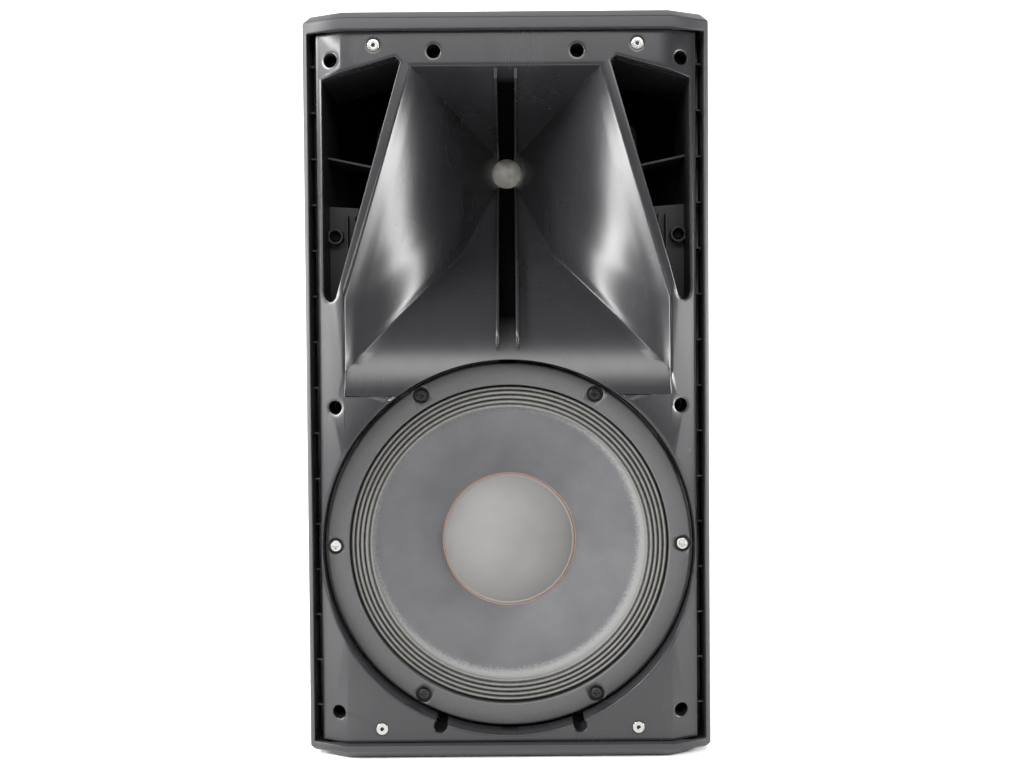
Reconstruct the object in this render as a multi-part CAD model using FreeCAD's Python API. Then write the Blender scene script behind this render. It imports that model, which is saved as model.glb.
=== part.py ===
"""Twelve-inch two-way moulded loudspeaker cabinet with its own amplifier.

X runs across the front, Y from the front to the rear, Z up. The origin is under
the middle of the cabinet, on the floor. All sizes are in millimetres.
"""
import FreeCAD, Part
import math
import os

V = FreeCAD.Vector

# ---- driving dimensions -------------------------------------------------------
WIDTH = 343.0
DEPTH = 332.0
HEIGHT = 629.0
HALF_WIDTH = WIDTH / 2
FRONT_Y = -DEPTH / 2                # foremost face of the top and bottom lips
REAR_Y = DEPTH / 2
FLAT_HALF = 138.0                   # the front is flat this far from the middle
SLOPE = 12.0 / 23.0                 # how fast the front falls back beyond it
SHELL_WALL = 5.0
EDGE_BEVEL = 6.5
SIDE_BEND_Y = 20.0                  # the sides run straight back to here
REAR_HALF = 128.0
LIP_BOTTOM_Z = 1.0
FLOOR_Z = 4.0                       # underside of the cabinet behind the lip
OPENING_BOTTOM_Z = 12.0
OPENING_TOP_Z = 613.5
RIM = 4.0

BAFFLE_Y = FRONT_Y + 8.0            # front of the flat of the baffle
BAFFLE_WALL = 4.0
BAFFLE_HALF = 161.0
BAFFLE_FIT = 0.3
SEAT_Y = -118.0                     # back of the baffle's flange
FLANGE = 4.0
GASKET = 2.0
LEDGE_Y = SEAT_Y + GASKET
LEDGE = 10.0
WELL_R = 5.7
WELL_WALL = 2.5
PILOT_R = 2.05
RIB_COUNT = 15
RIB_PITCH = 39.1
RIB_FIRST_Z = 40.8

THROAT_Z = 514.0
THROAT_R = 15.0
THROAT_Y = -8.0
HORN_WALL = 3.5
CREASE_Y = BAFFLE_Y + 80.0
VANE_X = 8.5
VANE_THICK = 2.6
VANE_HEIGHT = 9.0
VANE_END = 16.0

DUCT_WALL = 2.5
COLLAR_BACK_Y = -142.0
DUCT_END_Y = -45.0
SHELF_Y = -108.0

WOOFER_Z = 177.8
RECESS_R = 159.6
WOOFER_SEAT_Y = -130.0
CUTOUT_R = 144.5
FRAME_R = 157.0
SCREW_CIRCLE_R = 149.7
SURROUND_R = 137.2
CONE_R = 121.5
CONE_EDGE_Y = -130.6
COIL_R = 38.2                       # outside of the voice coil former
DUST_CAP_R = 57.4

DRIVER_R = 45.0
DRIVER_BOLT_R = 38.0
DRIVER_Y = THROAT_Y                 # rear face of the horn's throat flange

PANEL_HALF = 92.0
PANEL_BOTTOM_Z = 152.0
PANEL_TOP_Z = 448.0
PANEL_Y = 148.0                     # outer face of the amplifier panel
PANEL_THICK = 3.0
JACK_X = 45.0
JACK_Z = 405.0
KNOB_Z = 358.0
POWER_Z = 183.0
INPUT_BOARD_Y = 121.0
AMP_BOARD_Y = 100.0
BOARD_THICK = 1.6

POLE_Y = 45.0
POLE_R = 18.0
POLE_DEPTH = 80.0

# where the screws and inserts stand, as (x, z) on the right-hand half
BAFFLE_SCREWS = [(147.5, 590.6), (60.2, 596.6), (146.5, 298.0), (145.8, 38.0), (59.5, 26.0)]
PORT_SCREW = (150.0, 446.0)
GRILLE_INSERTS = [(110.6, 601.7), (109.0, 24.3)]

# right-hand port, clockwise from its upper outer corner, as (x, z)
PORT = [(155.6, 574.8), (92.6, 592.4), (88.2, 588.0), (143.6, 395.0), (144.9, 390.8), (147.4, 388.2),
        (150.8, 387.6), (153.8, 389.4), (155.4, 392.4), (155.9, 396.4)]

# horn sections from the mouth to the throat, right-hand half from the top down
MOUTH = [(80.0, 584.0), (137.6, 390.0), (138.0, 328.0)]
CREASE = [(42.0, 556.0), (42.0, 490.0), (42.0, 431.0)]
THROAT = [(9.0, THROAT_Z + 14.5), (16.8, THROAT_Z), (9.0, THROAT_Z - 14.5)]

# below the mouth the plate leans back into the horn by this much
LIP_Z = 307.0
LIP_DEPTH = 1.3

os.makedirs("parts", exist_ok=True)


# ---- helpers --------------------------------------------------------------------
def save(name, *shapes):
    """Write one node: one solid, or a group of separate solids."""
    shape = shapes[0] if len(shapes) == 1 else Part.makeCompound(list(shapes))
    shape.exportStep(f"parts/{name}.step")


def box(x0, x1, y0, y1, z0, z1):
    return Part.makeBox(x1 - x0, y1 - y0, z1 - z0, V(x0, y0, z0))


def rod_y(radius, x, z, y0, y1):
    return Part.makeCylinder(radius, y1 - y0, V(x, y0, z), V(0, 1, 0))


def rod_z(radius, x, y, z0, z1):
    return Part.makeCylinder(radius, z1 - z0, V(x, y, z0), V(0, 0, 1))


def rod_x(radius, y, z, x0, x1):
    return Part.makeCylinder(radius, x1 - x0, V(x0, y, z), V(1, 0, 0))


def ring_y(outer, inner, x, z, y0, y1):
    return rod_y(outer, x, z, y0, y1).cut(rod_y(inner, x, z, y0 - 1, y1 + 1))


def wire(points):
    return Part.makePolygon(points + points[:1])


def prism_y(outline, y0, y1):
    """Extrude an (x, z) outline from y0 to y1."""
    face = Part.Face(wire([V(x, y0, z) for x, z in outline]))
    return face.extrude(V(0, y1 - y0, 0))


def prism_z(outline, z0, z1):
    """Extrude an (x, y) outline from z0 to z1."""
    face = Part.Face(wire([V(x, y, z0) for x, y in outline]))
    return face.extrude(V(0, 0, z1 - z0))


def prism_x(outline, x0, x1):
    """Extrude a (y, z) outline from x0 to x1."""
    face = Part.Face(wire([V(x0, y, z) for y, z in outline]))
    return face.extrude(V(x1 - x0, 0, 0))


def spin_y(profile, x, z):
    """Turn an (r, y) profile about the line through (x, z) along Y."""
    face = Part.Face(wire([V(x + r, y, z) for r, y in profile]))
    return face.revolve(V(x, 0, z), V(0, 1, 0), 360)


def offset_prism_y(outline, grow, y0, y1):
    """Extrude an (x, z) outline grown by so much, with square corners."""
    face = Part.Face(wire([V(x, y0, z) for x, z in outline]))
    return face.makeOffset2D(grow, 2, False, False, True).extrude(V(0, y1 - y0, 0))


def mirrored(shape):
    return shape.mirror(V(0, 0, 0), V(1, 0, 0))


def both_sides(points):
    return [(side * x, z) for x, z in points for side in (1, -1)]


def fuse(first, *others):
    return first.multiFuse(list(others)).removeSplitter() if others else first


def fuse_plain(first, *others):
    return first.multiFuse(list(others))


def cut(shape, *tools):
    return shape.cut(list(tools))


def screw(at, way, head_r=4.0, head_h=3.0, shank_r=2.0, length=20.0):
    """A cross-head screw: `at` is under the head, `way` points along the shank."""
    way = V(*way)
    head = Part.makeCylinder(head_r, head_h, V(*at) - way * head_h, way)
    head = head.makeFillet(head_h * 0.35, [e for e in head.Edges if is_rim(e, V(*at) - way * head_h)])
    shank = Part.makeCylinder(shank_r, length, V(*at), way)
    body = head.fuse(shank)
    slot = Part.makeBox(head_r * 1.1, head_r * 0.26, head_h * 1.2)
    slot.translate(V(-head_r * 0.55, -head_r * 0.13, -head_h * 1.7))
    other = slot.copy()
    other.rotate(V(0, 0, 0), V(0, 0, 1), 90)
    cross = slot.fuse(other)
    cross.Placement = FreeCAD.Placement(V(*at), FreeCAD.Rotation(V(0, 0, 1), way)).multiply(cross.Placement)
    return body.cut(cross)


def is_rim(edge, centre):
    return edge.Closed and abs(edge.CenterOfMass.distanceToPoint(centre)) < 1e-6


def lead(points, radius):
    """A tube along straight runs joined by the largest arcs that fit."""
    edges = []
    at = V(*points[0])
    for before, here, after in zip(points, points[1:], points[2:]):
        before, here, after = V(*before), V(*here), V(*after)
        into = (here - before).normalize()
        out = (after - here).normalize()
        half_turn = into.getAngle(out) / 2
        run = min(here.distanceToPoint(before), here.distanceToPoint(after))
        reach = 0.45 * run
        bend = reach / math.tan(half_turn)
        start = here - into * reach
        end = here + out * reach
        towards = (out - into).normalize()
        middle = here + towards * (bend / math.cos(half_turn) - bend)
        edges.append(Part.LineSegment(at, start).toShape())
        edges.append(Part.Arc(start, middle, end).toShape())
        print("bend radius", round(bend, 1))
        at = end
    edges.append(Part.LineSegment(at, V(*points[-1])).toShape())
    path = Part.Wire(edges)
    first = V(*points[1]) - V(*points[0])
    section = Part.Wire(Part.makeCircle(radius, V(*points[0]), first))
    tube = path.makePipeShell([section], True, True)
    print("volume ratio", round(tube.Volume / (math.pi * radius ** 2 * path.Length), 4))
    return tube


# ---- cabinet shell -----------------------------------------------------------------
def plan_outline(grow=0.0):
    """Plan of the cabinet, with rounded bends at its sides and rear corners."""
    lip_side_y = FRONT_Y + (HALF_WIDTH - FLAT_HALF) * SLOPE
    right = [(FLAT_HALF, FRONT_Y), (HALF_WIDTH, lip_side_y), (HALF_WIDTH, SIDE_BEND_Y), (REAR_HALF, REAR_Y)]
    points = right + [(-x, y) for x, y in reversed(right)]
    solid = prism_z(points, LIP_BOTTOM_Z, HEIGHT)
    bends = upright_edges(solid, HALF_WIDTH, SIDE_BEND_Y)
    corners = upright_edges(solid, REAR_HALF, REAR_Y)
    return solid.makeFillet(40.0, bends).makeFillet(14.0, corners)


def upright_edges(solid, x, y):
    found = []
    for edge in solid.Edges:
        middle = edge.CenterOfMass
        on_it = abs(abs(middle.x) - x) < 0.01 and abs(middle.y - y) < 0.01
        if on_it and edge.Length > HEIGHT / 2:
            found.append(edge)
    return found


def level_edges(solid, z):
    """The edges round the foot or the top of a solid."""
    return [e for e in solid.Edges if e.BoundBox.ZLength < 0.01 and abs(e.CenterOfMass.z - z) < 0.01]


def shell():
    outer = plan_outline()
    outer = outer.makeChamfer(EDGE_BEVEL, level_edges(outer, LIP_BOTTOM_Z) + level_edges(outer, HEIGHT))
    raised = box(-200, 200, FRONT_Y + 14, 200, -1, FLOOR_Z)
    outer = outer.cut(raised)

    base = [f for f in plan_outline().Faces if f.BoundBox.ZMax < LIP_BOTTOM_Z + 0.01][0]
    inner_face = base.makeOffset2D(-SHELL_WALL, 0, False, False, True)
    inner_face.translate(V(0, 0, FLOOR_Z + SHELL_WALL - LIP_BOTTOM_Z))
    cavity = inner_face.extrude(V(0, 0, HEIGHT - FLOOR_Z - 2 * SHELL_WALL))
    cavity = cavity.common(box(-200, 200, FRONT_Y + 14, 200, 0, 700))
    mouth = box(-HALF_WIDTH + RIM, HALF_WIDTH - RIM, -200, LEDGE_Y, OPENING_BOTTOM_Z, OPENING_TOP_Z)
    body = outer.cut([cavity, mouth])

    # ledge that the baffle's flange is screwed against
    ledge = box(-166.6, 166.6, LEDGE_Y, LEDGE_Y + LEDGE, FLOOR_Z + 3, HEIGHT - 3)
    ledge = ledge.cut(box(-140, 140, -150, 0, 34, 588))
    gaps = [duct_clearance(), mirrored(duct_clearance())]
    bosses = [rod_y(7, x, z, LEDGE_Y, LEDGE_Y + 20) for x, z in both_sides(BAFFLE_SCREWS)]
    x, z = PORT_SCREW
    side_boss = box(x - 7, 167, SHELF_Y + 3.3, SHELF_Y + 24, z - 8, z + 8)
    body = fuse_plain(body, ledge.cut(gaps), *bosses, side_boss, mirrored(side_boss))
    pilots = [rod_y(PILOT_R, x, z, LEDGE_Y - 1, LEDGE_Y + 19) for x, z in both_sides(BAFFLE_SCREWS)]
    pilots += [rod_y(PILOT_R, s * x, z, SHELF_Y, SHELF_Y + 21) for s in (1, -1)]

    # recess for the amplifier panel in the rear
    frame = box(-PANEL_HALF - 5, PANEL_HALF + 5, PANEL_Y - 17, REAR_Y - 1, PANEL_BOTTOM_Z - 5, PANEL_TOP_Z + 5)
    gasket_y = PANEL_Y - PANEL_THICK - 1
    rebate = box(-PANEL_HALF - 1, PANEL_HALF + 1, gasket_y, 200, PANEL_BOTTOM_Z - 1, PANEL_TOP_Z + 1)
    window = box(-80, 80, 100, 200, PANEL_BOTTOM_Z + 12, PANEL_TOP_Z - 12)
    panel_pilots = [rod_y(PILOT_R, x, z, PANEL_Y - 15, 200) for x, z in PANEL_SCREWS]

    # pocket for the top handle
    pocket_wall = box(-76, 76, -24, 64, 582, HEIGHT - 1)
    pocket = box(-72, 72, -20, 60, 586, HEIGHT + 1)
    handle_holes = [rod_z(2.3, x, HANDLE_Y, 580, 588) for x in HANDLE_LEGS]

    # pole socket, feet and rigging points
    pole_hole = rod_z(POLE_R + 3.8, 0, POLE_Y, 0, 12)
    foot_bosses = [rod_z(6, x, y, FLOOR_Z + 2, 20) for x, y in FEET + POLE_SCREWS]
    foot_pilots = [rod_z(PILOT_R, x, y, 0, 19) for x, y in FEET + POLE_SCREWS]
    rig_bosses = [rig_rod(place, 11, 2, 28) for place in RIGGING]
    rig_holes = [rig_rod(place, 8, -1, 25) for place in RIGGING]

    body = fuse_plain(body, frame, pocket_wall, *foot_bosses, *rig_bosses)
    tools = pilots + [rebate, window, pocket, pole_hole] + panel_pilots + handle_holes
    return cut(body, *tools, *foot_pilots, *rig_holes)


def rig_rod(place, radius, start, end):
    """A rod into the cabinet at a rigging point, from `start` to `end` under its face."""
    at, way = V(*place[0]), V(*place[1])
    return Part.makeCylinder(radius, end - start, at + way * start, way)


PANEL_SCREWS = [(x, z) for x in (-86, 86) for z in (158, 300, 442)]
HANDLE_Y = 20.0
HANDLE_LEGS = (-62.0, 62.0)
FEET = [(-132, -92), (132, -92), (-112, 118), (112, 118)]
POLE_SCREWS = [(sx * 20.5, POLE_Y + sy * 20.5) for sx in (1, -1) for sy in (1, -1)]
RIGGING = [((-120, 0, HEIGHT), (0, 0, -1)), ((120, 0, HEIGHT), (0, 0, -1)),
           ((-95, 60, FLOOR_Z), (0, 0, 1)), ((95, 60, FLOOR_Z), (0, 0, 1)),
           ((0, REAR_Y, 545), (0, -1, 0))]


# ---- front baffle with its horn -----------------------------------------------------
def both_halves(section, y):
    """A whole horn section from its right-hand half, as points at depth y."""
    right = [V(x, y, z) for x, z in section]
    left = [V(-p.x, y, p.z) for p in reversed(right)]
    return right + left


def grown(section, grow):
    top, middle, low = section
    return [(top[0] + grow, top[1] + grow), (middle[0] + grow, middle[1]), (low[0] + grow, low[1] - grow)]


def horn_solid(grow=0.0):
    """The room inside the horn, or with `grow` the outside of its walls."""
    mouth = wire(both_halves(grown(MOUTH, grow), BAFFLE_Y))
    crease = wire(both_halves(grown(CREASE, grow), CREASE_Y))
    throat = wire(both_halves(grown(THROAT, grow), THROAT_Y))
    return Part.makeLoft([mouth, crease, throat], True, True)


def mouth_lip():
    """The shallow wedge taken off the plate below the horn's mouth."""
    top_z = MOUTH[2][1] + 1.0
    wedge = [(BAFFLE_Y, LIP_Z), (BAFFLE_Y + LIP_DEPTH, top_z), (BAFFLE_Y - 1, top_z), (BAFFLE_Y - 1, LIP_Z)]
    return prism_x(wedge, -MOUTH[2][0], MOUTH[2][0])


def vane(bottom):
    """A thin rib that stands on the top or the bottom wall of the horn."""
    step = (CREASE_Y - BAFFLE_Y) / (CREASE[2][1] - MOUTH[2][1])
    if bottom:
        start_z = 344.0
        start_y = BAFFLE_Y + (start_z - MOUTH[2][1]) * step
        wall = [(start_y, start_z), (CREASE_Y, CREASE[2][1]), (THROAT_Y - 1, THROAT[2][1])]
        lean = (-0.84, 0.54)
    else:
        wall = [(BAFFLE_Y + 2, MOUTH[0][1] - 1), (CREASE_Y, CREASE[0][1]), (THROAT_Y - 1, THROAT[0][1])]
        lean = (-0.4, -0.92)
    inner = [(y + lean[0] * VANE_HEIGHT, z + lean[1] * VANE_HEIGHT) for y, z in wall]
    outer = [(y - lean[0] * 2, z - lean[1] * 2) for y, z in wall]
    inner[-1] = (THROAT_Y - VANE_END, wall[-1][1])
    if not bottom:
        inner[0] = (BAFFLE_Y + 4, inner[0][1])
    blade = prism_x(outer + inner[::-1], VANE_X - VANE_THICK / 2, VANE_X + VANE_THICK / 2)
    return [blade, mirrored(blade)]


def duct_clearance():
    return offset_prism_y(PORT, DUCT_WALL + 0.4, -150, 0)


def baffle():
    slope_back = (BAFFLE_HALF - FLAT_HALF) * SLOPE
    front = [(BAFFLE_HALF, BAFFLE_Y + slope_back), (FLAT_HALF, BAFFLE_Y)]
    back = [(FLAT_HALF, BAFFLE_Y + BAFFLE_WALL), (BAFFLE_HALF, BAFFLE_Y + slope_back + BAFFLE_WALL)]
    outline = front + [(-x, y) for x, y in reversed(front)] + [(-x, y) for x, y in reversed(back)] + back
    low, high = OPENING_BOTTOM_Z + BAFFLE_FIT, OPENING_TOP_Z - BAFFLE_FIT
    plate = prism_z(outline, low, high)

    # everything that stands behind the plate stays inside this room
    reach = 172.0
    edge_y = BAFFLE_Y + (reach - FLAT_HALF) * SLOPE
    room = prism_z([(reach, edge_y), (FLAT_HALF, BAFFLE_Y), (-FLAT_HALF, BAFFLE_Y), (-reach, edge_y),
                    (-reach, 60), (reach, 60)], low, high)

    skirt = box(-BAFFLE_HALF, BAFFLE_HALF, BAFFLE_Y, SEAT_Y, low, high)
    skirt = skirt.cut(box(-BAFFLE_HALF + 2.5, BAFFLE_HALF - 2.5, -200, 0, low + 2.5, high - 2.5))
    half = HALF_WIDTH - RIM - 0.6
    flange = box(-half, half, SEAT_Y - FLANGE, SEAT_Y, low, high).cut(box(-142, 142, -200, 0, 32, 590))
    ribs = []
    for i in range(RIB_COUNT):
        z = RIB_FIRST_Z + i * RIB_PITCH
        rib = box(BAFFLE_HALF - 1, half, BAFFLE_Y + 18, SEAT_Y - 1, z - 0.8, z + 0.8)
        ribs += [rib, mirrored(rib)]
    wells = [rod_y(WELL_R + WELL_WALL, x, z, BAFFLE_Y, SEAT_Y) for x, z in both_sides(BAFFLE_SCREWS)]
    studs = [rod_y(7.5, x, z, BAFFLE_Y, BAFFLE_Y + 16) for x, z in both_sides(GRILLE_INSERTS)]
    collar = offset_prism_y(PORT, DUCT_WALL, BAFFLE_Y, COLLAR_BACK_Y)
    recess = rod_y(RECESS_R + 3, 0, WOOFER_Z, BAFFLE_Y, WOOFER_SEAT_Y + 5)
    screw_bosses = [rod_y(6.5, x, z, WOOFER_SEAT_Y, SEAT_Y - 0.5) for x, z in woofer_screw_places()]
    horn = horn_solid(HORN_WALL)
    throat_flange = rod_y(DRIVER_R, 0, THROAT_Z, THROAT_Y - 7, THROAT_Y)
    inside = [skirt, flange, *wells, *studs, collar, mirrored(collar), recess, *screw_bosses, horn]
    body = fuse_plain(plate, *[s.common(room) for s in inside], *ribs, throat_flange)

    vanes = vane(True) + vane(False)
    room_in_horn = horn_solid().fuse(mouth_lip())
    tools = [room_in_horn, rod_y(THROAT_R, 0, THROAT_Z, THROAT_Y - 8, THROAT_Y + 1)]
    tools += [rod_y(RECESS_R, 0, WOOFER_Z, BAFFLE_Y - 10, WOOFER_SEAT_Y)]
    tools += [rod_y(CUTOUT_R, 0, WOOFER_Z, BAFFLE_Y - 10, SEAT_Y + 1)]
    for x, z in both_sides(BAFFLE_SCREWS):
        tools.append(rod_y(WELL_R, x, z, BAFFLE_Y - 1, SEAT_Y - FLANGE))
        tools.append(rod_y(2.3, x, z, SEAT_Y - FLANGE - 1, SEAT_Y + 1))
    for x, z in both_sides(GRILLE_INSERTS):
        tools.append(rod_y(5, x, z, BAFFLE_Y - 1, BAFFLE_Y + 12))
    tools += [rod_y(PILOT_R, x, z, WOOFER_SEAT_Y - 1, SEAT_Y - 1.5) for x, z in woofer_screw_places()]
    port = prism_y(PORT, BAFFLE_Y - 1, SEAT_Y + 1)
    tools += [port, mirrored(port)]
    clearance = offset_prism_y(PORT, DUCT_WALL + 0.3, COLLAR_BACK_Y, SEAT_Y + 1)
    tools += [clearance, mirrored(clearance)]
    body = cut(body, *tools)
    driver_holes = [rod_y(3.2, x, z, THROAT_Y - 8, THROAT_Y + 1) for x, z in driver_bolt_places()]
    body = cut(fuse_plain(body, *[v.common(horn) for v in vanes]), *driver_holes)
    keep = cut(body, rod_y(RECESS_R, 0, WOOFER_Z, BAFFLE_Y - 10, WOOFER_SEAT_Y))
    return max(keep.Solids, key=lambda s: s.Volume)


def woofer_screw_places():
    return [(SCREW_CIRCLE_R * math.cos(math.radians(a)), WOOFER_Z + SCREW_CIRCLE_R * math.sin(math.radians(a)))
            for a in range(0, 360, 60)]


def driver_bolt_places():
    return [(DRIVER_BOLT_R, THROAT_Z), (-DRIVER_BOLT_R, THROAT_Z)]


def baffle_gasket():
    half = HALF_WIDTH - RIM - 2
    sheet = box(-half, half, SEAT_Y, LEDGE_Y, OPENING_BOTTOM_Z + 2, OPENING_TOP_Z - 2)
    tools = [box(-141, 141, -200, 0, 33, 589), duct_clearance(), mirrored(duct_clearance())]
    tools += [rod_y(2.6, x, z, -200, 0) for x, z in both_sides(BAFFLE_SCREWS)]
    tools += [rod_y(7, x, z, -200, 0) for x, z in woofer_screw_places()]
    return max(cut(sheet, *tools).Solids, key=lambda s: s.Volume)


def port_duct():
    """The right-hand duct: open at the top, closed by a ribbed shelf at the bottom."""
    outer = offset_prism_y(PORT, DUCT_WALL, COLLAR_BACK_Y, DUCT_END_Y)
    inner = prism_y(PORT, COLLAR_BACK_Y - 1, DUCT_END_Y + 1)
    step = [(180, 472), (60, 464), (60, 300), (180, 300)]
    lower_room = prism_y(step, SHELF_Y, DUCT_END_Y + 1)
    shelf = prism_y(step, SHELF_Y, SHELF_Y + 3).common(outer)
    top_rail = prism_y([(180, 474.5), (60, 466.5), (60, 464), (180, 472)], SHELF_Y, DUCT_END_Y).common(outer)
    line = [(160, 516), (100, 503.5), (100, 501.5), (160, 514)]
    bridge = prism_y(line, SHELF_Y - 8, DUCT_END_Y - 10).common(inner)
    ribs = [box(x - 0.8, x + 0.8, SHELF_Y - 9, SHELF_Y + 1, 380, 464).common(inner) for x in (133, 139.5)]
    x, z = PORT_SCREW
    well = cut(rod_y(7.0, x, z, SHELF_Y - 9, SHELF_Y + 1), rod_y(WELL_R - 0.7, x, z, SHELF_Y - 10, SHELF_Y + 2))
    body = fuse_plain(outer.cut([inner, lower_room]), shelf, top_rail, bridge, *ribs, well.common(inner))
    return cut(body, rod_y(2.3, x, z, SHELF_Y - 1, SHELF_Y + 4))


def baffle_screws():
    seat = SEAT_Y - FLANGE
    found = [screw((x, seat, z), (0, 1, 0)) for x, z in both_sides(BAFFLE_SCREWS)]
    x, z = PORT_SCREW
    return found + [screw((s * x, SHELF_Y, z), (0, 1, 0)) for s in (1, -1)]


def grille_inserts():
    found = []
    for x, z in both_sides(GRILLE_INSERTS):
        body = rod_y(5, x, z, BAFFLE_Y - 0.6, BAFFLE_Y + 12)
        found.append(body.cut(rod_y(1.6, x, z, BAFFLE_Y - 2, BAFFLE_Y + 10)))
    return found


# ---- woofer --------------------------------------------------------------------------
FRAME_FRONT_Y = WOOFER_SEAT_Y - 5   # front of the outer flange of the frame
LEDGE_FRONT_Y = WOOFER_SEAT_Y - 1   # where the surround is glued
SPIDER_Y = -80.0
PLATE_Y = -66.0
TOP_PLATE = 10.0
MAGNET = 22.0
BACK_PLATE = 10.0
MAGNET_R = 92.0


def woofer_frame():
    wall = [(143.9, -128), (95, SPIDER_Y), (95, SPIDER_Y + 3), (90, SPIDER_Y + 3), (90, PLATE_Y), (47, PLATE_Y),
            (47, PLATE_Y - 3), (86, PLATE_Y - 3), (86, SPIDER_Y + 3), (74, SPIDER_Y + 3), (74, SPIDER_Y),
            (91.5, SPIDER_Y), (137, -124.7), (137, LEDGE_FRONT_Y), (143, LEDGE_FRONT_Y),
            (143, FRAME_FRONT_Y), (FRAME_R, FRAME_FRONT_Y), (FRAME_R, LEDGE_FRONT_Y), (143.9, LEDGE_FRONT_Y)]
    body = spin_y(wall, 0, WOOFER_Z)
    tools = [rod_y(2.7, x, z, -140, -120) for x, z in woofer_screw_places()]
    for angle in range(30, 360, 60):
        window = box(105, 150, -122, -100, WOOFER_Z - 34, WOOFER_Z + 34)
        lower = box(93, 126, -101, -86, WOOFER_Z - 28, WOOFER_Z + 28)
        opening = window.fuse(lower)
        opening.rotate(V(0, 0, WOOFER_Z), V(0, 1, 0), angle)
        tools.append(opening)
    return cut(body, *tools)


def notch(radius, y0, y1):
    """One D-shaped notch for a screw head, in the rim at angle 0."""
    round_part = rod_y(radius, SCREW_CIRCLE_R, WOOFER_Z, y0, y1)
    return round_part.fuse(box(SCREW_CIRCLE_R, 160, y0, y1, WOOFER_Z - radius, WOOFER_Z + radius))


def woofer_front_gasket():
    body = ring_y(FRAME_R, 138, 0, WOOFER_Z, FRAME_FRONT_Y - 3.5, FRAME_FRONT_Y)
    rims = [e for e in body.Edges if abs(e.BoundBox.YMin - FRAME_FRONT_Y + 3.5) < 0.01 and e.Closed]
    body = body.makeFillet(1.2, rims)
    tools = []
    for angle in range(0, 360, 60):
        tool = notch(7.2, FRAME_FRONT_Y - 5, FRAME_FRONT_Y + 1)
        tool.rotate(V(0, 0, WOOFER_Z), V(0, 1, 0), angle)
        tools.append(tool)
    return cut(body, *tools)


def woofer_seat_gasket():
    body = ring_y(FRAME_R, CUTOUT_R, 0, WOOFER_Z, LEDGE_FRONT_Y, WOOFER_SEAT_Y)
    return cut(body, *[rod_y(2.7, x, z, -140, -120) for x, z in woofer_screw_places()])


def rolls(r0, r1, y, height, count, thick):
    """A ring whose section is a row of half-round rolls, as an (r, y) profile."""
    steps = 8 * count
    front, back = [], []
    for i in range(steps + 1):
        r = r0 + (r1 - r0) * i / steps
        rise = -height * abs(math.sin(math.pi * count * i / steps))
        front.append((r, y + rise - thick))
        back.append((r, y + rise))
    return front, back


def surround():
    front, back = rolls(CONE_R + 0.4, SURROUND_R - 0.6, LEDGE_FRONT_Y, 2.2, 4, 0.8)
    front = [(CONE_R - 3, front[0][1])] + front + [(142.6, front[-1][1])]
    back = [(CONE_R - 3, back[0][1])] + back + [(142.6, back[-1][1])]
    return spin_y(front + back[::-1], 0, WOOFER_Z)


def spider():
    front, back = rolls(COIL_R + 3, 76, SPIDER_Y, 2.6, 5, 0.7)
    front = [(COIL_R, front[0][1])] + front + [(88, front[-1][1])]
    back = [(COIL_R, back[0][1])] + back + [(88, back[-1][1])]
    return spin_y(front + back[::-1], 0, WOOFER_Z)


def cone_arc(shift):
    """The cone's curve from its edge to its neck, moved back by `shift`."""
    return Part.Arc(V(CONE_R, CONE_EDGE_Y + shift, WOOFER_Z), V(72, -110.5 + shift, WOOFER_Z),
                    V(COIL_R, -90 + shift, WOOFER_Z))


def cone_front_y(radius):
    """Where the front of the cone stands at this radius."""
    line = Part.LineSegment(V(radius, -200, WOOFER_Z), V(radius, 0, WOOFER_Z)).toShape()
    return cone_arc(0).toShape().distToShape(line)[1][0][0].y


def cone():
    front, back = cone_arc(0), cone_arc(1.2)
    edges = [front.toShape(), back.toShape()]
    edges.append(Part.LineSegment(front.StartPoint, back.StartPoint).toShape())
    edges.append(Part.LineSegment(front.EndPoint, back.EndPoint).toShape())
    face = Part.Face(Part.Wire(Part.__sortEdges__(edges)))
    return face.revolve(V(0, 0, WOOFER_Z), V(0, 1, 0), 360)


def dust_cap():
    """A dome whose rim is turned down onto the cone."""
    rim_y = cone_front_y(DUST_CAP_R) - 0.15
    rise = 15.0
    edges = []
    for shift in (0.0, 0.9):
        start = V(DUST_CAP_R - shift, rim_y, WOOFER_Z)
        sphere_r = (DUST_CAP_R ** 2 + rise ** 2) / (2 * rise)
        middle_r = DUST_CAP_R / 2
        middle_y = rim_y - rise + sphere_r - math.sqrt(sphere_r ** 2 - middle_r ** 2)
        edges.append(Part.Arc(start, V(middle_r, middle_y + shift, WOOFER_Z), V(0, rim_y - rise + shift, WOOFER_Z)))
    outer, inner = edges
    loop = [outer.toShape(), inner.toShape()]
    loop.append(Part.LineSegment(outer.StartPoint, inner.StartPoint).toShape())
    loop.append(Part.LineSegment(outer.EndPoint, inner.EndPoint).toShape())
    face = Part.Face(Part.Wire(Part.__sortEdges__(loop)))
    return face.revolve(V(0, 0, WOOFER_Z), V(0, 1, 0), 360)


def woofer_motor():
    plate = ring_y(MAGNET_R - 2, COIL_R + 2.4, 0, WOOFER_Z, PLATE_Y, PLATE_Y + TOP_PLATE)
    magnet_y = PLATE_Y + TOP_PLATE
    magnet = ring_y(MAGNET_R, 50, 0, WOOFER_Z, magnet_y, magnet_y + MAGNET)
    back_y = magnet_y + MAGNET
    pole = spin_y([(10, PLATE_Y), (COIL_R - 1.6, PLATE_Y), (COIL_R - 1.6, back_y), (MAGNET_R - 6, back_y),
                   (MAGNET_R - 12, back_y + BACK_PLATE), (14, back_y + BACK_PLATE), (10, back_y + 2)], 0, WOOFER_Z)
    return plate, magnet, pole


TERMINAL_ANGLE = 30


def turned(shape):
    """Turn a shape about the woofer's axis to the angle of its terminals."""
    shape.rotate(V(0, 0, WOOFER_Z), V(0, 1, 0), -TERMINAL_ANGLE)
    return shape


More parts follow.
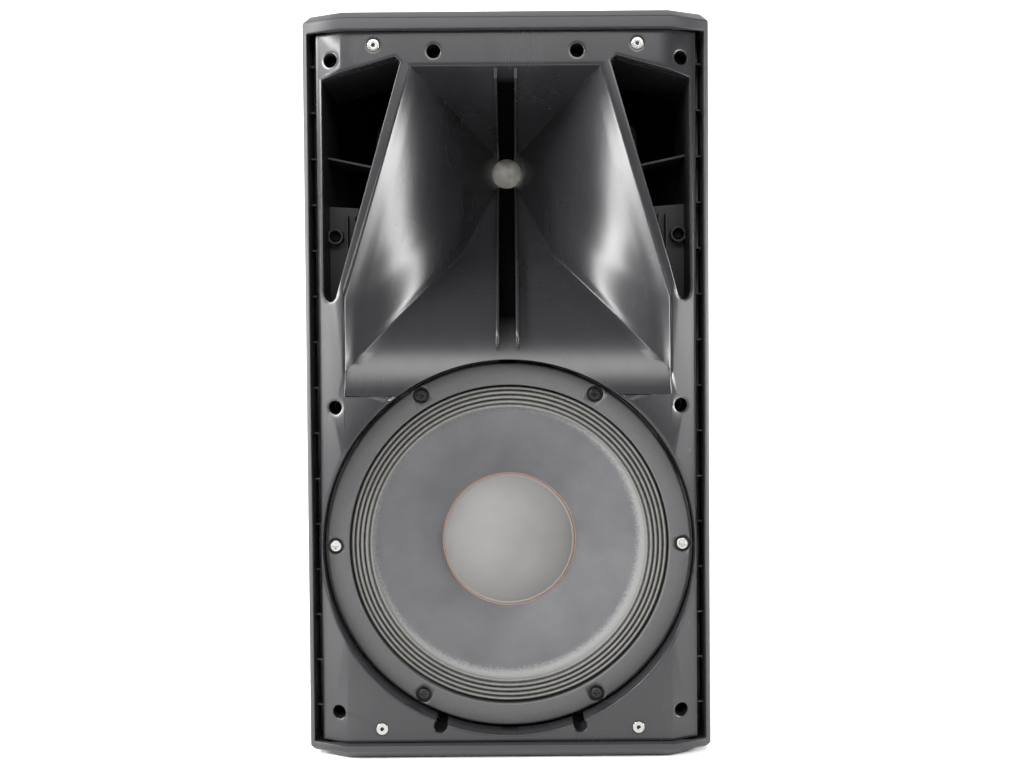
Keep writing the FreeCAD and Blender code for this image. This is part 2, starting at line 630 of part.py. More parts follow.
def woofer_terminals():
    """A fibre strip on the frame with two solder tags."""
    strip = box(90.2, 104, -76.8, -75, WOOFER_Z - 14, WOOFER_Z + 14)
    tags = [box(97, 101, -75, -69, WOOFER_Z + s - 2, WOOFER_Z + s + 2) for s in (-9, 9)]
    return [turned(s) for s in [strip] + tags]


def tinsel_leads():
    """Two braided leads from the neck of the cone to the terminal strip."""
    found = []
    for s in (-9, 9):
        z = WOOFER_Z + s
        points = [(62, -103.2, z), (66, -97, z), (76, -90.5, z), (86, -91.2, z), (91.5, -85.5, z)]
        found.append(turned(lead(points, 1.0)))
    return found


# ---- compression driver ------------------------------------------------------------------
def driver():
    y = DRIVER_Y
    throat = spin_y([(THROAT_R, y), (DRIVER_R, y), (DRIVER_R, y + 8), (21, y + 8), (13.5, y + 3)], 0, THROAT_Z)
    throat = cut(throat, *[rod_y(2.7, x, z, y - 1, y + 9) for x, z in driver_bolt_places()])
    plug = spin_y([(0, y + 4), (3, y + 8), (11.5, y + 13), (11.5, y + 17), (19, y + 21), (19, y + 24), (0, y + 24)],
                  0, THROAT_Z)
    magnet = ring_y(DRIVER_R, 24, 0, THROAT_Z, y + 8, y + 26)
    plate = ring_y(DRIVER_R - 1, 22.6, 0, THROAT_Z, y + 26, y + 31)
    coil = ring_y(22.3, 21.6, 0, THROAT_Z, y + 25.4, y + 32)
    diaphragm = spin_y([(0, y + 25.2), (12, y + 26.6), (21.2, y + 32), (26, y + 32), (26, y + 32.4), (21, y + 32.4),
                        (11.8, y + 27), (0, y + 25.6)], 0, THROAT_Z)
    cover = spin_y([(DRIVER_R - 1, y + 31), (DRIVER_R - 1, y + 52), (DRIVER_R - 7, y + 58), (0, y + 58),
                    (0, y + 54), (DRIVER_R - 9, y + 54), (DRIVER_R - 5, y + 50), (DRIVER_R - 5, y + 36),
                    (27, y + 36), (27, y + 31)], 0, THROAT_Z)
    return throat, plug, magnet, plate, coil, diaphragm, cover


def throat_screen():
    """The fine round mesh across the mouth of the driver."""
    return rod_y(THROAT_R - 0.2, 0, THROAT_Z, THROAT_Y - 1.0, THROAT_Y)


def driver_bolts():
    return [screw((x, DRIVER_Y - 7, z), (0, 1, 0), 5, 3.5, 2.5, 14) for x, z in driver_bolt_places()]


# ---- fittings on the shell -----------------------------------------------------------------
def top_handle():
    """A bar across the pocket in the top, standing on two legs."""
    bar = box(-71, 71, HANDLE_Y - 13, HANDLE_Y + 13, 612, 627)
    bar = bar.makeFillet(5.5, [e for e in bar.Edges if e.Length > 100])
    legs = [box(x - 8, x + 8, HANDLE_Y - 10, HANDLE_Y + 10, 586, 615) for x in HANDLE_LEGS]
    return cut(fuse_plain(bar, *legs), *[rod_z(PILOT_R, x, HANDLE_Y, 585, 602) for x in HANDLE_LEGS])


def pole_socket():
    cup = rod_z(POLE_R + 3.5, 0, POLE_Y, FLOOR_Z, FLOOR_Z + POLE_DEPTH + 4)
    flange = rod_z(37, 0, POLE_Y, FLOOR_Z - 2.8, FLOOR_Z)
    tools = [rod_z(POLE_R, 0, POLE_Y, 0, FLOOR_Z + POLE_DEPTH)]
    tools += [rod_z(2.3, x, y, 0, 6) for x, y in POLE_SCREWS]
    tools += [rod_z(4.3, x, y, 0, FLOOR_Z - 0.8) for x, y in POLE_SCREWS]
    return cut(fuse_plain(cup, flange), *tools)


def rubber_feet():
    found = []
    for x, y in FEET:
        foot = rod_z(16, x, y, 0, FLOOR_Z)
        found.append(cut(foot, rod_z(4.4, x, y, -1, FLOOR_Z - 1), rod_z(2.3, x, y, -1, FLOOR_Z + 1)))
    return found


def case_screws():
    """The identical screws of the feet, pole socket, handle and amplifier panel."""
    small = dict(head_r=4.0, head_h=2.0, shank_r=2.0, length=14)
    found = [screw((x, y, FLOOR_Z - 1), (0, 0, 1), **small) for x, y in FEET]
    found += [screw((x, y, FLOOR_Z - 0.8), (0, 0, 1), **small) for x, y in POLE_SCREWS]
    found += [screw((x, HANDLE_Y, 582), (0, 0, 1), **small) for x in HANDLE_LEGS]
    return found + [screw((x, PANEL_Y, z), (0, -1, 0), **small) for x, z in PANEL_SCREWS]


def rigging_inserts():
    """Closed steel inserts with an M10 thread, flush with the cabinet."""
    return [rig_rod(place, 8, 0, 25).cut(rig_rod(place, 5, -1, 20)) for place in RIGGING]


# ---- amplifier -------------------------------------------------------------------------------
FLANGE_X, FLANGE_Z = 13.0, 15.5     # half sizes of a connector's flange
CONNECTOR_R = 11.7
INLET_X = 45.0
SWITCH_X = -40.0
ROCKER_Y = PANEL_Y - 2.0            # the rocker's pivot
BUTTON_HALF = 3.8
LENS_Z = 380.0


def amp_panel():
    plate = box(-PANEL_HALF, PANEL_HALF, PANEL_Y - PANEL_THICK, PANEL_Y, PANEL_BOTTOM_Z, PANEL_TOP_Z)
    plate = plate.makeFillet(6, [e for e in plate.Edges if e.BoundBox.YLength > 2.9])
    y0, y1 = PANEL_Y - PANEL_THICK - 1, PANEL_Y + 1
    tools = [rod_y(CONNECTOR_R + 0.2, x, JACK_Z, y0, y1) for x in (-JACK_X, 0, JACK_X)]
    tools += [rod_y(3.6, x, KNOB_Z, y0, y1) for x in (-JACK_X, JACK_X)]
    side = BUTTON_HALF + 0.35
    tools.append(box(-side, side, y0, y1, KNOB_Z - side, KNOB_Z + side))
    tools.append(rod_y(2.6, 0, LENS_Z, y0, y1))
    tools.append(box(INLET_X - 13.8, INLET_X + 13.8, y0, y1, POWER_Z - 10.2, POWER_Z + 10.2))
    tools.append(box(SWITCH_X - 7.8, SWITCH_X + 7.8, y0, y1, POWER_Z - 11.2, POWER_Z + 11.2))
    tools += [rod_y(2.3, x, z, y0, y1) for x, z in PANEL_SCREWS]
    return cut(plate, *tools)


def panel_gasket():
    y1 = PANEL_Y - PANEL_THICK
    sheet = box(-PANEL_HALF, PANEL_HALF, y1 - 1, y1, PANEL_BOTTOM_Z, PANEL_TOP_Z)
    tools = [box(-80, 80, y1 - 2, y1 + 1, PANEL_BOTTOM_Z + 12, PANEL_TOP_Z - 12)]
    return cut(sheet, *tools, *[rod_y(2.4, x, z, y1 - 2, y1 + 1) for x, z in PANEL_SCREWS])


def heatsink():
    """Upright fins on a base plate."""
    base = box(-78, 78, PANEL_Y, PANEL_Y + 3, 212, 332)
    fins = [box(-78 + i * 9.625, -76 + i * 9.625, PANEL_Y + 2.5, REAR_Y - 4, 212, 332) for i in range(17)]
    return fuse(base, *fins)


def input_jack(x):
    """A combined jack: three pin holes round a centre hole, and a latch slot."""
    flange = box(x - FLANGE_X, x + FLANGE_X, PANEL_Y, PANEL_Y + 1.6, JACK_Z - FLANGE_Z, JACK_Z + FLANGE_Z)
    flange = flange.makeFillet(2, [e for e in flange.Edges if e.BoundBox.YLength > 1.5])
    body = rod_y(CONNECTOR_R, x, JACK_Z, INPUT_BOARD_Y + BOARD_THICK, PANEL_Y + 0.5)
    collar = rod_y(10.6, x, JACK_Z, PANEL_Y, PANEL_Y + 2.4)
    tools = [rod_y(3.3, x, JACK_Z, PANEL_Y - 20, REAR_Y)]
    for angle in (30, 150, 270):
        pin_x = x + 6.3 * math.cos(math.radians(angle))
        pin_z = JACK_Z + 6.3 * math.sin(math.radians(angle))
        tools.append(rod_y(1.5, pin_x, pin_z, PANEL_Y - 14, REAR_Y))
    tools.append(box(x - 3.4, x + 3.4, PANEL_Y - 8, REAR_Y, JACK_Z + 7.4, JACK_Z + 12.1))
    return cut(fuse_plain(flange, body, collar), *tools)


def jack_latch(x):
    """The tab that lets a locked plug go when it is pressed in."""
    tab = box(x - 3.0, x + 3.0, PANEL_Y - 4, PANEL_Y + 4, JACK_Z + 7.8, JACK_Z + 11.2)
    return tab.makeFillet(0.8, [e for e in tab.Edges if e.BoundBox.YMin > PANEL_Y + 3.9])


def link_connector():
    flange = box(-FLANGE_X, FLANGE_X, PANEL_Y, PANEL_Y + 1.6, JACK_Z - FLANGE_Z, JACK_Z + FLANGE_Z)
    flange = flange.makeFillet(2, [e for e in flange.Edges if e.BoundBox.YLength > 1.5])
    body = rod_y(CONNECTOR_R, 0, JACK_Z, INPUT_BOARD_Y + BOARD_THICK, PANEL_Y + 0.5)
    shell = fuse_plain(flange, body).cut(rod_y(9.3, 0, JACK_Z, PANEL_Y - 14, REAR_Y))
    pins = []
    for angle in (90, 210, 330):
        x = 5.5 * math.cos(math.radians(angle))
        z = JACK_Z + 5.5 * math.sin(math.radians(angle))
        pins.append(rod_y(1.2, x, z, PANEL_Y - 15, PANEL_Y - 1))
    return fuse_plain(shell, *pins)


def input_board():
    y0, y1 = INPUT_BOARD_Y, INPUT_BOARD_Y + BOARD_THICK
    board = box(-70, 70, y0, y1, 342, 432)
    return cut(board, *[rod_y(1.6, x, z, y0 - 1, y1 + 1) for x, z in INPUT_STANDOFFS])


INPUT_STANDOFFS = [(x, z) for x in (-65, 65) for z in (347, 427)]
AMP_STANDOFFS = [(x, z) for x in (-70, 70) for z in (176, 326)]


def board_standoffs():
    """Pillars between the panel and its boards, each with a stud through the board."""
    found = []
    for places, board_y in ((INPUT_STANDOFFS, INPUT_BOARD_Y), (AMP_STANDOFFS, AMP_BOARD_Y)):
        for x, z in places:
            pillar = rod_y(3, x, z, board_y + BOARD_THICK, PANEL_Y - PANEL_THICK)
            found.append(pillar.fuse(rod_y(1.5, x, z, board_y - 3, board_y + BOARD_THICK)))
    return found


def control_bodies():
    """The two potentiometers and the push switch on the input board."""
    y0 = INPUT_BOARD_Y + BOARD_THICK
    found = []
    for x in (-JACK_X, JACK_X):
        body = box(x - 8, x + 8, y0, y0 + 10, KNOB_Z - 8, KNOB_Z + 8)
        bush = rod_y(3.4, x, KNOB_Z, y0 + 9, PANEL_Y + 1)
        found.append(cut(fuse_plain(body, bush), rod_y(2.05, x, KNOB_Z, y0 + 4, PANEL_Y + 2)))
    switch = box(-6, 6, y0, y0 + 12, KNOB_Z - 6, KNOB_Z + 6)
    side = BUTTON_HALF + 0.3
    return found + [switch.cut(box(-side, side, y0 + 5, y0 + 13, KNOB_Z - side, KNOB_Z + side))]


def gain_knob(x):
    """A fluted knob with its shaft and a raised pointer."""
    cap = rod_y(8.5, x, KNOB_Z, PANEL_Y + 1.4, PANEL_Y + 14)
    rim = [e for e in cap.Edges if is_rim(e, V(x, PANEL_Y + 14, KNOB_Z))]
    cap = cap.makeChamfer(1.2, rim)
    flutes = []
    for angle in range(0, 360, 30):
        if angle != 90:
            fx = x + 9.0 * math.cos(math.radians(angle))
            fz = KNOB_Z + 9.0 * math.sin(math.radians(angle))
            flutes.append(rod_y(1.1, fx, fz, PANEL_Y + 1, PANEL_Y + 15))
    pointer = box(x - 0.6, x + 0.6, PANEL_Y + 13.6, PANEL_Y + 14.6, KNOB_Z + 1.5, KNOB_Z + 7)
    shaft = rod_y(2.0, x, KNOB_Z, INPUT_BOARD_Y + BOARD_THICK + 5, PANEL_Y + 2)
    return fuse_plain(cut(cap, *flutes), pointer, shaft)


def contour_button():
    half = BUTTON_HALF
    cap = box(-half, half, PANEL_Y - 10, PANEL_Y + 4, KNOB_Z - half, KNOB_Z + half)
    return cap.makeFillet(0.8, [e for e in cap.Edges if e.BoundBox.YMin > PANEL_Y + 3.9])


def indicator_lens():
    return fuse(rod_y(2.5, 0, LENS_Z, PANEL_Y - 8, PANEL_Y + 0.2), Part.makeSphere(2.5, V(0, PANEL_Y + 0.2, LENS_Z)))


def mains_inlet():
    x, z = INLET_X, POWER_Z
    body = box(x - 13.6, x + 13.6, PANEL_Y - 24, PANEL_Y + 1, z - 10, z + 10)
    flange = box(x - 16, x + 16, PANEL_Y, PANEL_Y + 2.2, z - 12.5, z + 12.5)
    flange = flange.makeFillet(2, [e for e in flange.Edges if e.BoundBox.YLength > 2.1])
    mouth = [(x - 12, z - 8), (x + 12, z - 8), (x + 12, z + 3), (x + 7, z + 8), (x - 7, z + 8), (x - 12, z + 3)]
    room = prism_y(mouth, PANEL_Y - 15, PANEL_Y + 5)
    blades = [box(x + bx - 1, x + bx + 1, PANEL_Y - 16, PANEL_Y - 1, z + bz - 2, z + bz + 2)
              for bx, bz in ((-7, -2), (0, 2), (7, -2))]
    return fuse_plain(fuse_plain(body, flange).cut(room), *blades)


def power_switch():
    """The frame and body of the rocker switch, with two pin holes."""
    x, z = SWITCH_X, POWER_Z
    body = box(x - 7.6, x + 7.6, PANEL_Y - 22, PANEL_Y + 1, z - 11, z + 11)
    flange = box(x - 9.5, x + 9.5, PANEL_Y, PANEL_Y + 2, z - 13, z + 13)
    flange = flange.makeFillet(1.5, [e for e in flange.Edges if e.BoundBox.YLength > 1.9])
    room = box(x - 6.3, x + 6.3, PANEL_Y - 11, PANEL_Y + 5, z - 9.6, z + 9.6)
    return cut(fuse_plain(body, flange), room, rod_x(1.26, ROCKER_Y, z, x - 7.4, x + 7.4))


def power_rocker():
    """A shallow V-shaped paddle on its pivot pin, resting with its upper half out."""
    x, z, y = SWITCH_X, POWER_Z, ROCKER_Y
    profile = [(y + 4.2, z - 8), (y + 2.2, z), (y + 4.2, z + 8), (y - 3, z + 8), (y - 3, z - 8)]
    paddle = prism_x(profile, x - 6, x + 6)
    pin = rod_x(1.2, y, z, x - 7.2, x + 7.2)
    rocker = fuse_plain(paddle, pin)
    rocker.rotate(V(x, y, z), V(1, 0, 0), ROCKER_TILT)
    return rocker


ROCKER_TILT = 8.0


def amp_board():
    y0, y1 = AMP_BOARD_Y, AMP_BOARD_Y + BOARD_THICK
    board = box(-76, 76, y0, y1, 170, 332)
    return cut(board, *[rod_y(1.6, x, z, y0 - 1, y1 + 1) for x, z in AMP_STANDOFFS])


def amp_capacitors():
    y0 = AMP_BOARD_Y + BOARD_THICK
    return [rod_y(9, 48, z, y0, y0 + 35) for z in (220, 243, 266, 289)]


def power_transformer():
    """A wound bobbin between the two halves of its core."""
    y0 = AMP_BOARD_Y + BOARD_THICK
    core = box(-22, 22, y0, y0 + 30, 238, 278)
    windows = [box(-15, -6, y0 - 1, y0 + 31, 246, 270), box(6, 15, y0 - 1, y0 + 31, 246, 270)]
    bobbin = box(-14.5, 14.5, y0 + 31, y0 + 38, 247, 269)
    winding = [box(-14.5, -6, y0, y0 + 38, 247, 269), box(6, 14.5, y0, y0 + 38, 247, 269)]
    return [core.cut(windows), fuse_plain(bobbin.cut(box(-6, 6, y0, y0 + 32, 240, 280)), *winding)]


# ---- inside leads and wadding --------------------------------------------------------------------
def woofer_lead():
    return lead([(85.7, -75, 227.3), (85.7, -47, 227.3), (95, -6, 240), (88, 34, 252), (66, 70, 250),
                 (60, 84, 246), (60, 100, 246)], 2.2)


def driver_lead():
    return lead([(-18, 50, 496), (-18, 68, 496), (-26, 86, 468), (-38, 86, 432), (-47, 80, 384),
                 (-54, 82, 340), (-55, 88, 322), (-55, 100, 322)], 2.0)


def mains_lead():
    return lead([(40, 124, 180), (40, 112, 180), (16, 109, 173), (-12, 110, 174), (-42, 114, 181),
                 (-42, 126, 181)], 1.8)


def wadding():
    pad = box(66, 134, 48, 84, 470, 574)
    return pad.makeFillet(8, pad.Edges)


# ---- write every node -------------------------------------------------------------------------------
def main():
    save("cabinet_shell", shell())
    save("front_baffle", baffle())
    duct = port_duct()
    save("port_ducts", duct, mirrored(duct))
    save("baffle_gasket", baffle_gasket())
    save("baffle_screws", *baffle_screws())
    save("grille_inserts", *grille_inserts())

    save("woofer_frame", woofer_frame())
    save("woofer_front_gasket", woofer_front_gasket())
    save("woofer_seat_gasket", woofer_seat_gasket())
    save("woofer_surround", surround())
    save("woofer_cone", cone())
    save("woofer_dust_cap", dust_cap())
    save("woofer_coil_former", ring_y(COIL_R, COIL_R - 0.5, 0, WOOFER_Z, -91.5, -47))
    save("woofer_voice_coil", ring_y(COIL_R + 1.2, COIL_R, 0, WOOFER_Z, PLATE_Y - 4, PLATE_Y + 14))
    save("woofer_spider", spider())
    plate, magnet, pole = woofer_motor()
    save("woofer_top_plate", plate)
    save("woofer_magnet", magnet)
    save("woofer_pole_piece", pole)
    save("woofer_terminals", *woofer_terminals())
    save("woofer_tinsel_leads", *tinsel_leads())
    seats = [(x, FRAME_FRONT_Y, z) for x, z in woofer_screw_places()]
    save("woofer_screws", *[screw(seat, (0, 1, 0), 5.0, 3.2, 2.0, 15) for seat in seats])

    names = ("front_plate", "phase_plug", "magnet", "rear_plate", "voice_coil", "diaphragm", "cover")
    for name, shape in zip(names, driver()):
        save(f"driver_{name}", shape)
    save("driver_throat_screen", throat_screen())
    save("driver_bolts", *driver_bolts())

    save("top_handle", top_handle())
    save("pole_socket", pole_socket())
    save("rubber_feet", *rubber_feet())
    save("case_screws", *case_screws())
    save("rigging_inserts", *rigging_inserts())

    save("amp_panel", amp_panel())
    save("amp_panel_gasket", panel_gasket())
    save("heatsink", heatsink())
    save("input_board", input_board())
    save("amp_board", amp_board())
    save("board_standoffs", *board_standoffs())
    save("amp_capacitors", *amp_capacitors())
    save("power_transformer", *power_transformer())
    for number, x in ((1, JACK_X), (2, -JACK_X)):
        save(f"input_jack_{number}", input_jack(x))
        save(f"jack_latch_{number}", jack_latch(x))
        save(f"gain_knob_{number}", gain_knob(x))
    save("link_connector", link_connector())
    save("control_bodies", *control_bodies())
    save("contour_button", contour_button())
    save("indicator_lens", indicator_lens())
    save("mains_inlet", mains_inlet())
    save("power_switch", power_switch())
    save("power_rocker", power_rocker())

    save("woofer_lead", woofer_lead())
    save("driver_lead", driver_lead())
    save("mains_lead", mains_lead())
    wad = wadding()
    save("acoustic_wadding", wad, mirrored(wad))


main()
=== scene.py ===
import math

import bmesh
import bpy
from mathutils import Matrix, Vector, noise
from mathutils.geometry import interpolate_bezier


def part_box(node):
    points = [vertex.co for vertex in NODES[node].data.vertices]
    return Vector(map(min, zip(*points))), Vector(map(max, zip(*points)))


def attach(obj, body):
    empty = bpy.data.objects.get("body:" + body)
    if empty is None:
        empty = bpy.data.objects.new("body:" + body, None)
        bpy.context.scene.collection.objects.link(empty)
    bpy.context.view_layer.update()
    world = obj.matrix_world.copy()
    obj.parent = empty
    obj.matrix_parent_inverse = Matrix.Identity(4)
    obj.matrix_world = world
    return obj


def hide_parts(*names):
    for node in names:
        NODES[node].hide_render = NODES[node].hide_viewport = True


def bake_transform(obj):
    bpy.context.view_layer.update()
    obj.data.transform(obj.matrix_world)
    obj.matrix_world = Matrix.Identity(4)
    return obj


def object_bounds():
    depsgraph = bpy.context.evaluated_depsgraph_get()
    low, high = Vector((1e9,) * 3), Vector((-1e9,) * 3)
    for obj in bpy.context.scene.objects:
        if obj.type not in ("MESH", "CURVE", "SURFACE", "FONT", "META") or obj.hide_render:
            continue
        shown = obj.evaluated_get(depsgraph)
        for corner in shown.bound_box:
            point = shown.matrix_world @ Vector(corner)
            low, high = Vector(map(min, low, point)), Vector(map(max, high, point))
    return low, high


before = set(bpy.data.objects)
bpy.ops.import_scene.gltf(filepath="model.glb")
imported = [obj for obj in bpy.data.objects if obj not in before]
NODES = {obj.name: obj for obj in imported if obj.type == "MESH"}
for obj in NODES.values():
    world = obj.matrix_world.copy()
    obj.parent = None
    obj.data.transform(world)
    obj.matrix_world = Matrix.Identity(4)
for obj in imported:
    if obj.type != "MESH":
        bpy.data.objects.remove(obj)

bl_info = {
    "name": "Loudspeaker cabinet finish",
    "version": (1, 0, 0),
    "blender": (4, 5, 0),
    "location": "View3D > Sidebar > Cabinet",
    "description": "Finishes a moulded two-way loudspeaker cabinet round its packed frame",
    "category": "Object",
}

MM = 0.001
CAD_BOX = [list(corner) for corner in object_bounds()]


def centre_of(node):
    """The middle of a CAD node's box."""
    low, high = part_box(node)
    return (low + high) / 2


WOOFER = centre_of("woofer_front_gasket")      # the woofer's axis runs along Y through it
THROAT = centre_of("driver_throat_screen")
BAFFLE_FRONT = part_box("front_baffle")[0].y


def linear(code):
    """Linear RGB of an sRGB hex colour."""
    channels = [int(code[i:i + 2], 16) / 255 for i in (1, 3, 5)]
    return tuple(c / 12.92 if c <= 0.04045 else ((c + 0.055) / 1.055) ** 2.4 for c in channels)


def rgba(code):
    return (*linear(code), 1.0)


# ---- what a user would change ---------------------------------------------------------

class CabinetSizes(bpy.types.PropertyGroup):
    case_edge: bpy.props.FloatProperty(
        name="Case edge", description="Radius of the moulded case's edges",
        default=1.0 * MM, min=0.0, max=3.0 * MM, unit="LENGTH", precision=4)
    baffle_edge: bpy.props.FloatProperty(
        name="Baffle edge", description="Radius of the baffle's edges",
        default=0.8 * MM, min=0.0, max=1.5 * MM, unit="LENGTH", precision=4)
    small_edge: bpy.props.FloatProperty(
        name="Small part edge", description="Radius of the edges of fittings",
        default=0.3 * MM, min=0.0, max=1.0 * MM, unit="LENGTH", precision=4)
    horn_swell: bpy.props.FloatProperty(
        name="Horn swell", description="How far the horn's side walls curve in towards its axis",
        default=9.0 * MM, min=0.0, max=15.0 * MM, unit="LENGTH", precision=4)
    roll_height: bpy.props.FloatProperty(
        name="Roll height", description="Height of the rolls of the woofer's surround",
        default=2.2 * MM, min=0.5 * MM, max=3.0 * MM, unit="LENGTH", precision=4)
    rolls: bpy.props.IntProperty(
        name="Rolls", description="Number of rolls in the woofer's surround", default=4, min=1, max=6)
    fluff: bpy.props.FloatProperty(
        name="Wadding fluff", description="How uneven the wadding's surface is",
        default=5.0 * MM, min=0.0, max=10.0 * MM, unit="LENGTH", precision=4)


class CabinetColours(bpy.types.PropertyGroup):
    case: bpy.props.FloatVectorProperty(
        name="Case", description="Colour of the textured case", subtype="COLOR", default=linear("#2b2b2d"))
    baffle: bpy.props.FloatVectorProperty(
        name="Baffle", description="Colour of the smooth baffle and horn", subtype="COLOR",
        default=linear("#232325"))
    cone: bpy.props.FloatVectorProperty(
        name="Cone", description="Colour of the woven cone", subtype="COLOR", default=linear("#5f5f62"))
    cap: bpy.props.FloatVectorProperty(
        name="Dust cap", description="Colour of the dust cap", subtype="COLOR", default=linear("#6f6e6c"))
    surround: bpy.props.FloatVectorProperty(
        name="Surround", description="Colour of the doped cloth surround", subtype="COLOR",
        default=linear("#4e4d4a"))


# ---- mesh helpers -----------------------------------------------------------------------

def finish(bm, name, material, body="cabinet", replaces=(), smooth=True):
    """Turn a bmesh into a piece that rides on a body."""
    mesh = bpy.data.meshes.new(name)
    bm.to_mesh(mesh)
    bm.free()
    for face in mesh.polygons:
        face.use_smooth = smooth
    piece = bpy.data.objects.new(name, mesh)
    bpy.context.scene.collection.objects.link(piece)
    mesh.materials.append(material)
    if body:
        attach(piece, body)
    if replaces:
        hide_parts(*replaces)
    return piece


def merged_copy(node):
    """A bmesh of a CAD node with its loose triangles joined up."""
    bm = bmesh.new()
    bm.from_mesh(NODES[node].data)
    bmesh.ops.remove_doubles(bm, verts=bm.verts, dist=1e-6)
    bmesh.ops.join_triangles(bm, faces=bm.faces[:], angle_face_threshold=math.radians(0.5),
                             angle_shape_threshold=math.radians(60))
    return bm


def add_bevel(piece, radius, segments=2, angle=32.0):
    bevel = piece.modifiers.new("rounded edges", "BEVEL")
    bevel.width = radius
    bevel.segments = segments
    bevel.limit_method = "ANGLE"
    bevel.angle_limit = math.radians(angle)
    bevel.harden_normals = True
    bevel.use_clamp_overlap = False
    bevel.miter_outer = "MITER_ARC"
    return bevel


def rounded(node, name, radius, material, body="cabinet", segments=2, angle=32.0):
    """A CAD node's shape again, with its sharp edges rounded off."""
    piece = finish(merged_copy(node), name, material, body, (node,))
    add_bevel(piece, radius, segments, angle)
    flats = piece.modifiers.new("flat faces stay flat", "WEIGHTED_NORMAL")
    flats.keep_sharp = True
    flats.weight = 100
    return piece


def paint(material, *nodes):
    """Give CAD nodes that keep their shape a material."""
    for node in nodes:
        mesh = NODES[node].data
        mesh.materials.clear()
        mesh.materials.append(material)


def spun(line, thickness, centre, steps):
    """A wall turned about the Y line through `centre`; `line` is its front as (radius, y) in millimetres."""
    return spun_loop(list(line) + [(r, y + thickness) for r, y in reversed(line)], centre, steps)


def spun_loop(loop, centre, steps):
    """A solid turned from (radius, y) points in millimetres, closed up unless it starts on the axis."""
    bm = bmesh.new()
    verts = [bm.verts.new((centre.x + r * MM, y * MM, centre.z)) for r, y in loop]
    pairs = list(zip(verts, verts[1:]))
    if loop[0][0] > 0:
        pairs.append((verts[-1], verts[0]))
    edges = [bm.edges.new(pair) for pair in pairs]
    bmesh.ops.spin(bm, geom=verts + edges, cent=(centre.x, 0, centre.z), axis=(0, 1, 0),
                   angle=math.tau, steps=steps, use_merge=True)
    bmesh.ops.remove_doubles(bm, verts=bm.verts, dist=1e-6)
    return outward(bm)


def outward(bm):
    """Make a closed shell's faces point out of it."""
    bmesh.ops.recalc_face_normals(bm, faces=bm.faces)
    if bm.calc_volume(signed=True) < 0:
        bmesh.ops.reverse_faces(bm, faces=bm.faces)
    return bm


# ---- materials ----------------------------------------------------------------------------

def set_sockets(tree, node, sockets):
    for socket, value in sockets.items():
        if isinstance(value, bpy.types.NodeSocket):
            tree.links.new(value, node.inputs[socket])
        else:
            node.inputs[socket].default_value = value


def add(tree, kind, sockets=None, **settings):
    """Add a node with its settings, values and links."""
    node = tree.nodes.new("ShaderNode" + kind)
    for name, value in settings.items():
        setattr(node, name, value)
    set_sockets(tree, node, sockets or {})
    return node


def material(name, **principled):
    """A material with one Principled shader, returned with its tree, shader and Object coordinates."""
    made = bpy.data.materials.new(name)
    made.use_nodes = True
    tree = made.node_tree
    tree.nodes.clear()
    shader = add(tree, "BsdfPrincipled")
    for socket, value in principled.items():
        shader.inputs[socket.replace("_", " ")].default_value = value
    add(tree, "OutputMaterial", {"Surface": shader.outputs[0]})
    coords = add(tree, "TexCoord").outputs["Object"]
    return made, tree, shader, coords


def per_mm(size):
    """Texture scale whose features are `size` millimetres apart."""
    return 1000.0 / size


def plated_steel():
    """Machined low-carbon steel, zinc plated: a dull grey metal with fine turning marks."""
    made, tree, shader, coords = material("plated motor steel", Metallic=1.0, Roughness=0.38)
    grain = add(tree, "TexNoise", {"Vector": coords, "Scale": per_mm(1.5), "Detail": 4.0})
    tone = add(tree, "ValToRGB", {"Fac": grain.outputs["Fac"]})
    tone.color_ramp.elements[0].color = rgba("#6f7072")
    tone.color_ramp.elements[1].color = rgba("#9a9a98")
    bump = add(tree, "Bump", {"Height": grain.outputs["Fac"], "Strength": 0.2, "Distance": 0.05 * MM})
    set_sockets(tree, shader, {"Base Color": tone.outputs["Color"], "Normal": bump.outputs["Normal"]})
    return made


def pebbled_plastic(name, colour, rough, pebble):
    """Moulded polypropylene with a spark-eroded texture: dull, with a fine even pebble.

    The real pebble is about 0.4 mm, drawn a little coarser so that it shows."""
    made, tree, shader, coords = material(name)
    cells = add(tree, "TexVoronoi", {"Vector": coords, "Scale": per_mm(pebble)}, feature="SMOOTH_F1")
    broad = add(tree, "TexNoise", {"Vector": coords, "Scale": per_mm(60), "Detail": 3.0})
    shade = add(tree, "MapRange", {"Value": broad.outputs["Fac"], "From Min": 0.3, "From Max": 0.7,
                                   "To Min": rough - 0.015, "To Max": rough + 0.02})
    tone = add(tree, "MixRGB", {"Fac": broad.outputs["Fac"], "Color1": (*[c * 0.95 for c in colour], 1.0),
                                "Color2": (*[min(c * 1.05, 1.0) for c in colour], 1.0)})
    bump = add(tree, "Bump", {"Height": cells.outputs["Distance"], "Strength": 0.55, "Distance": 0.12 * MM})
    set_sockets(tree, shader, {"Base Color": tone.outputs["Color"], "Roughness": shade.outputs["Result"],
                               "Normal": bump.outputs["Normal"]})
    return made


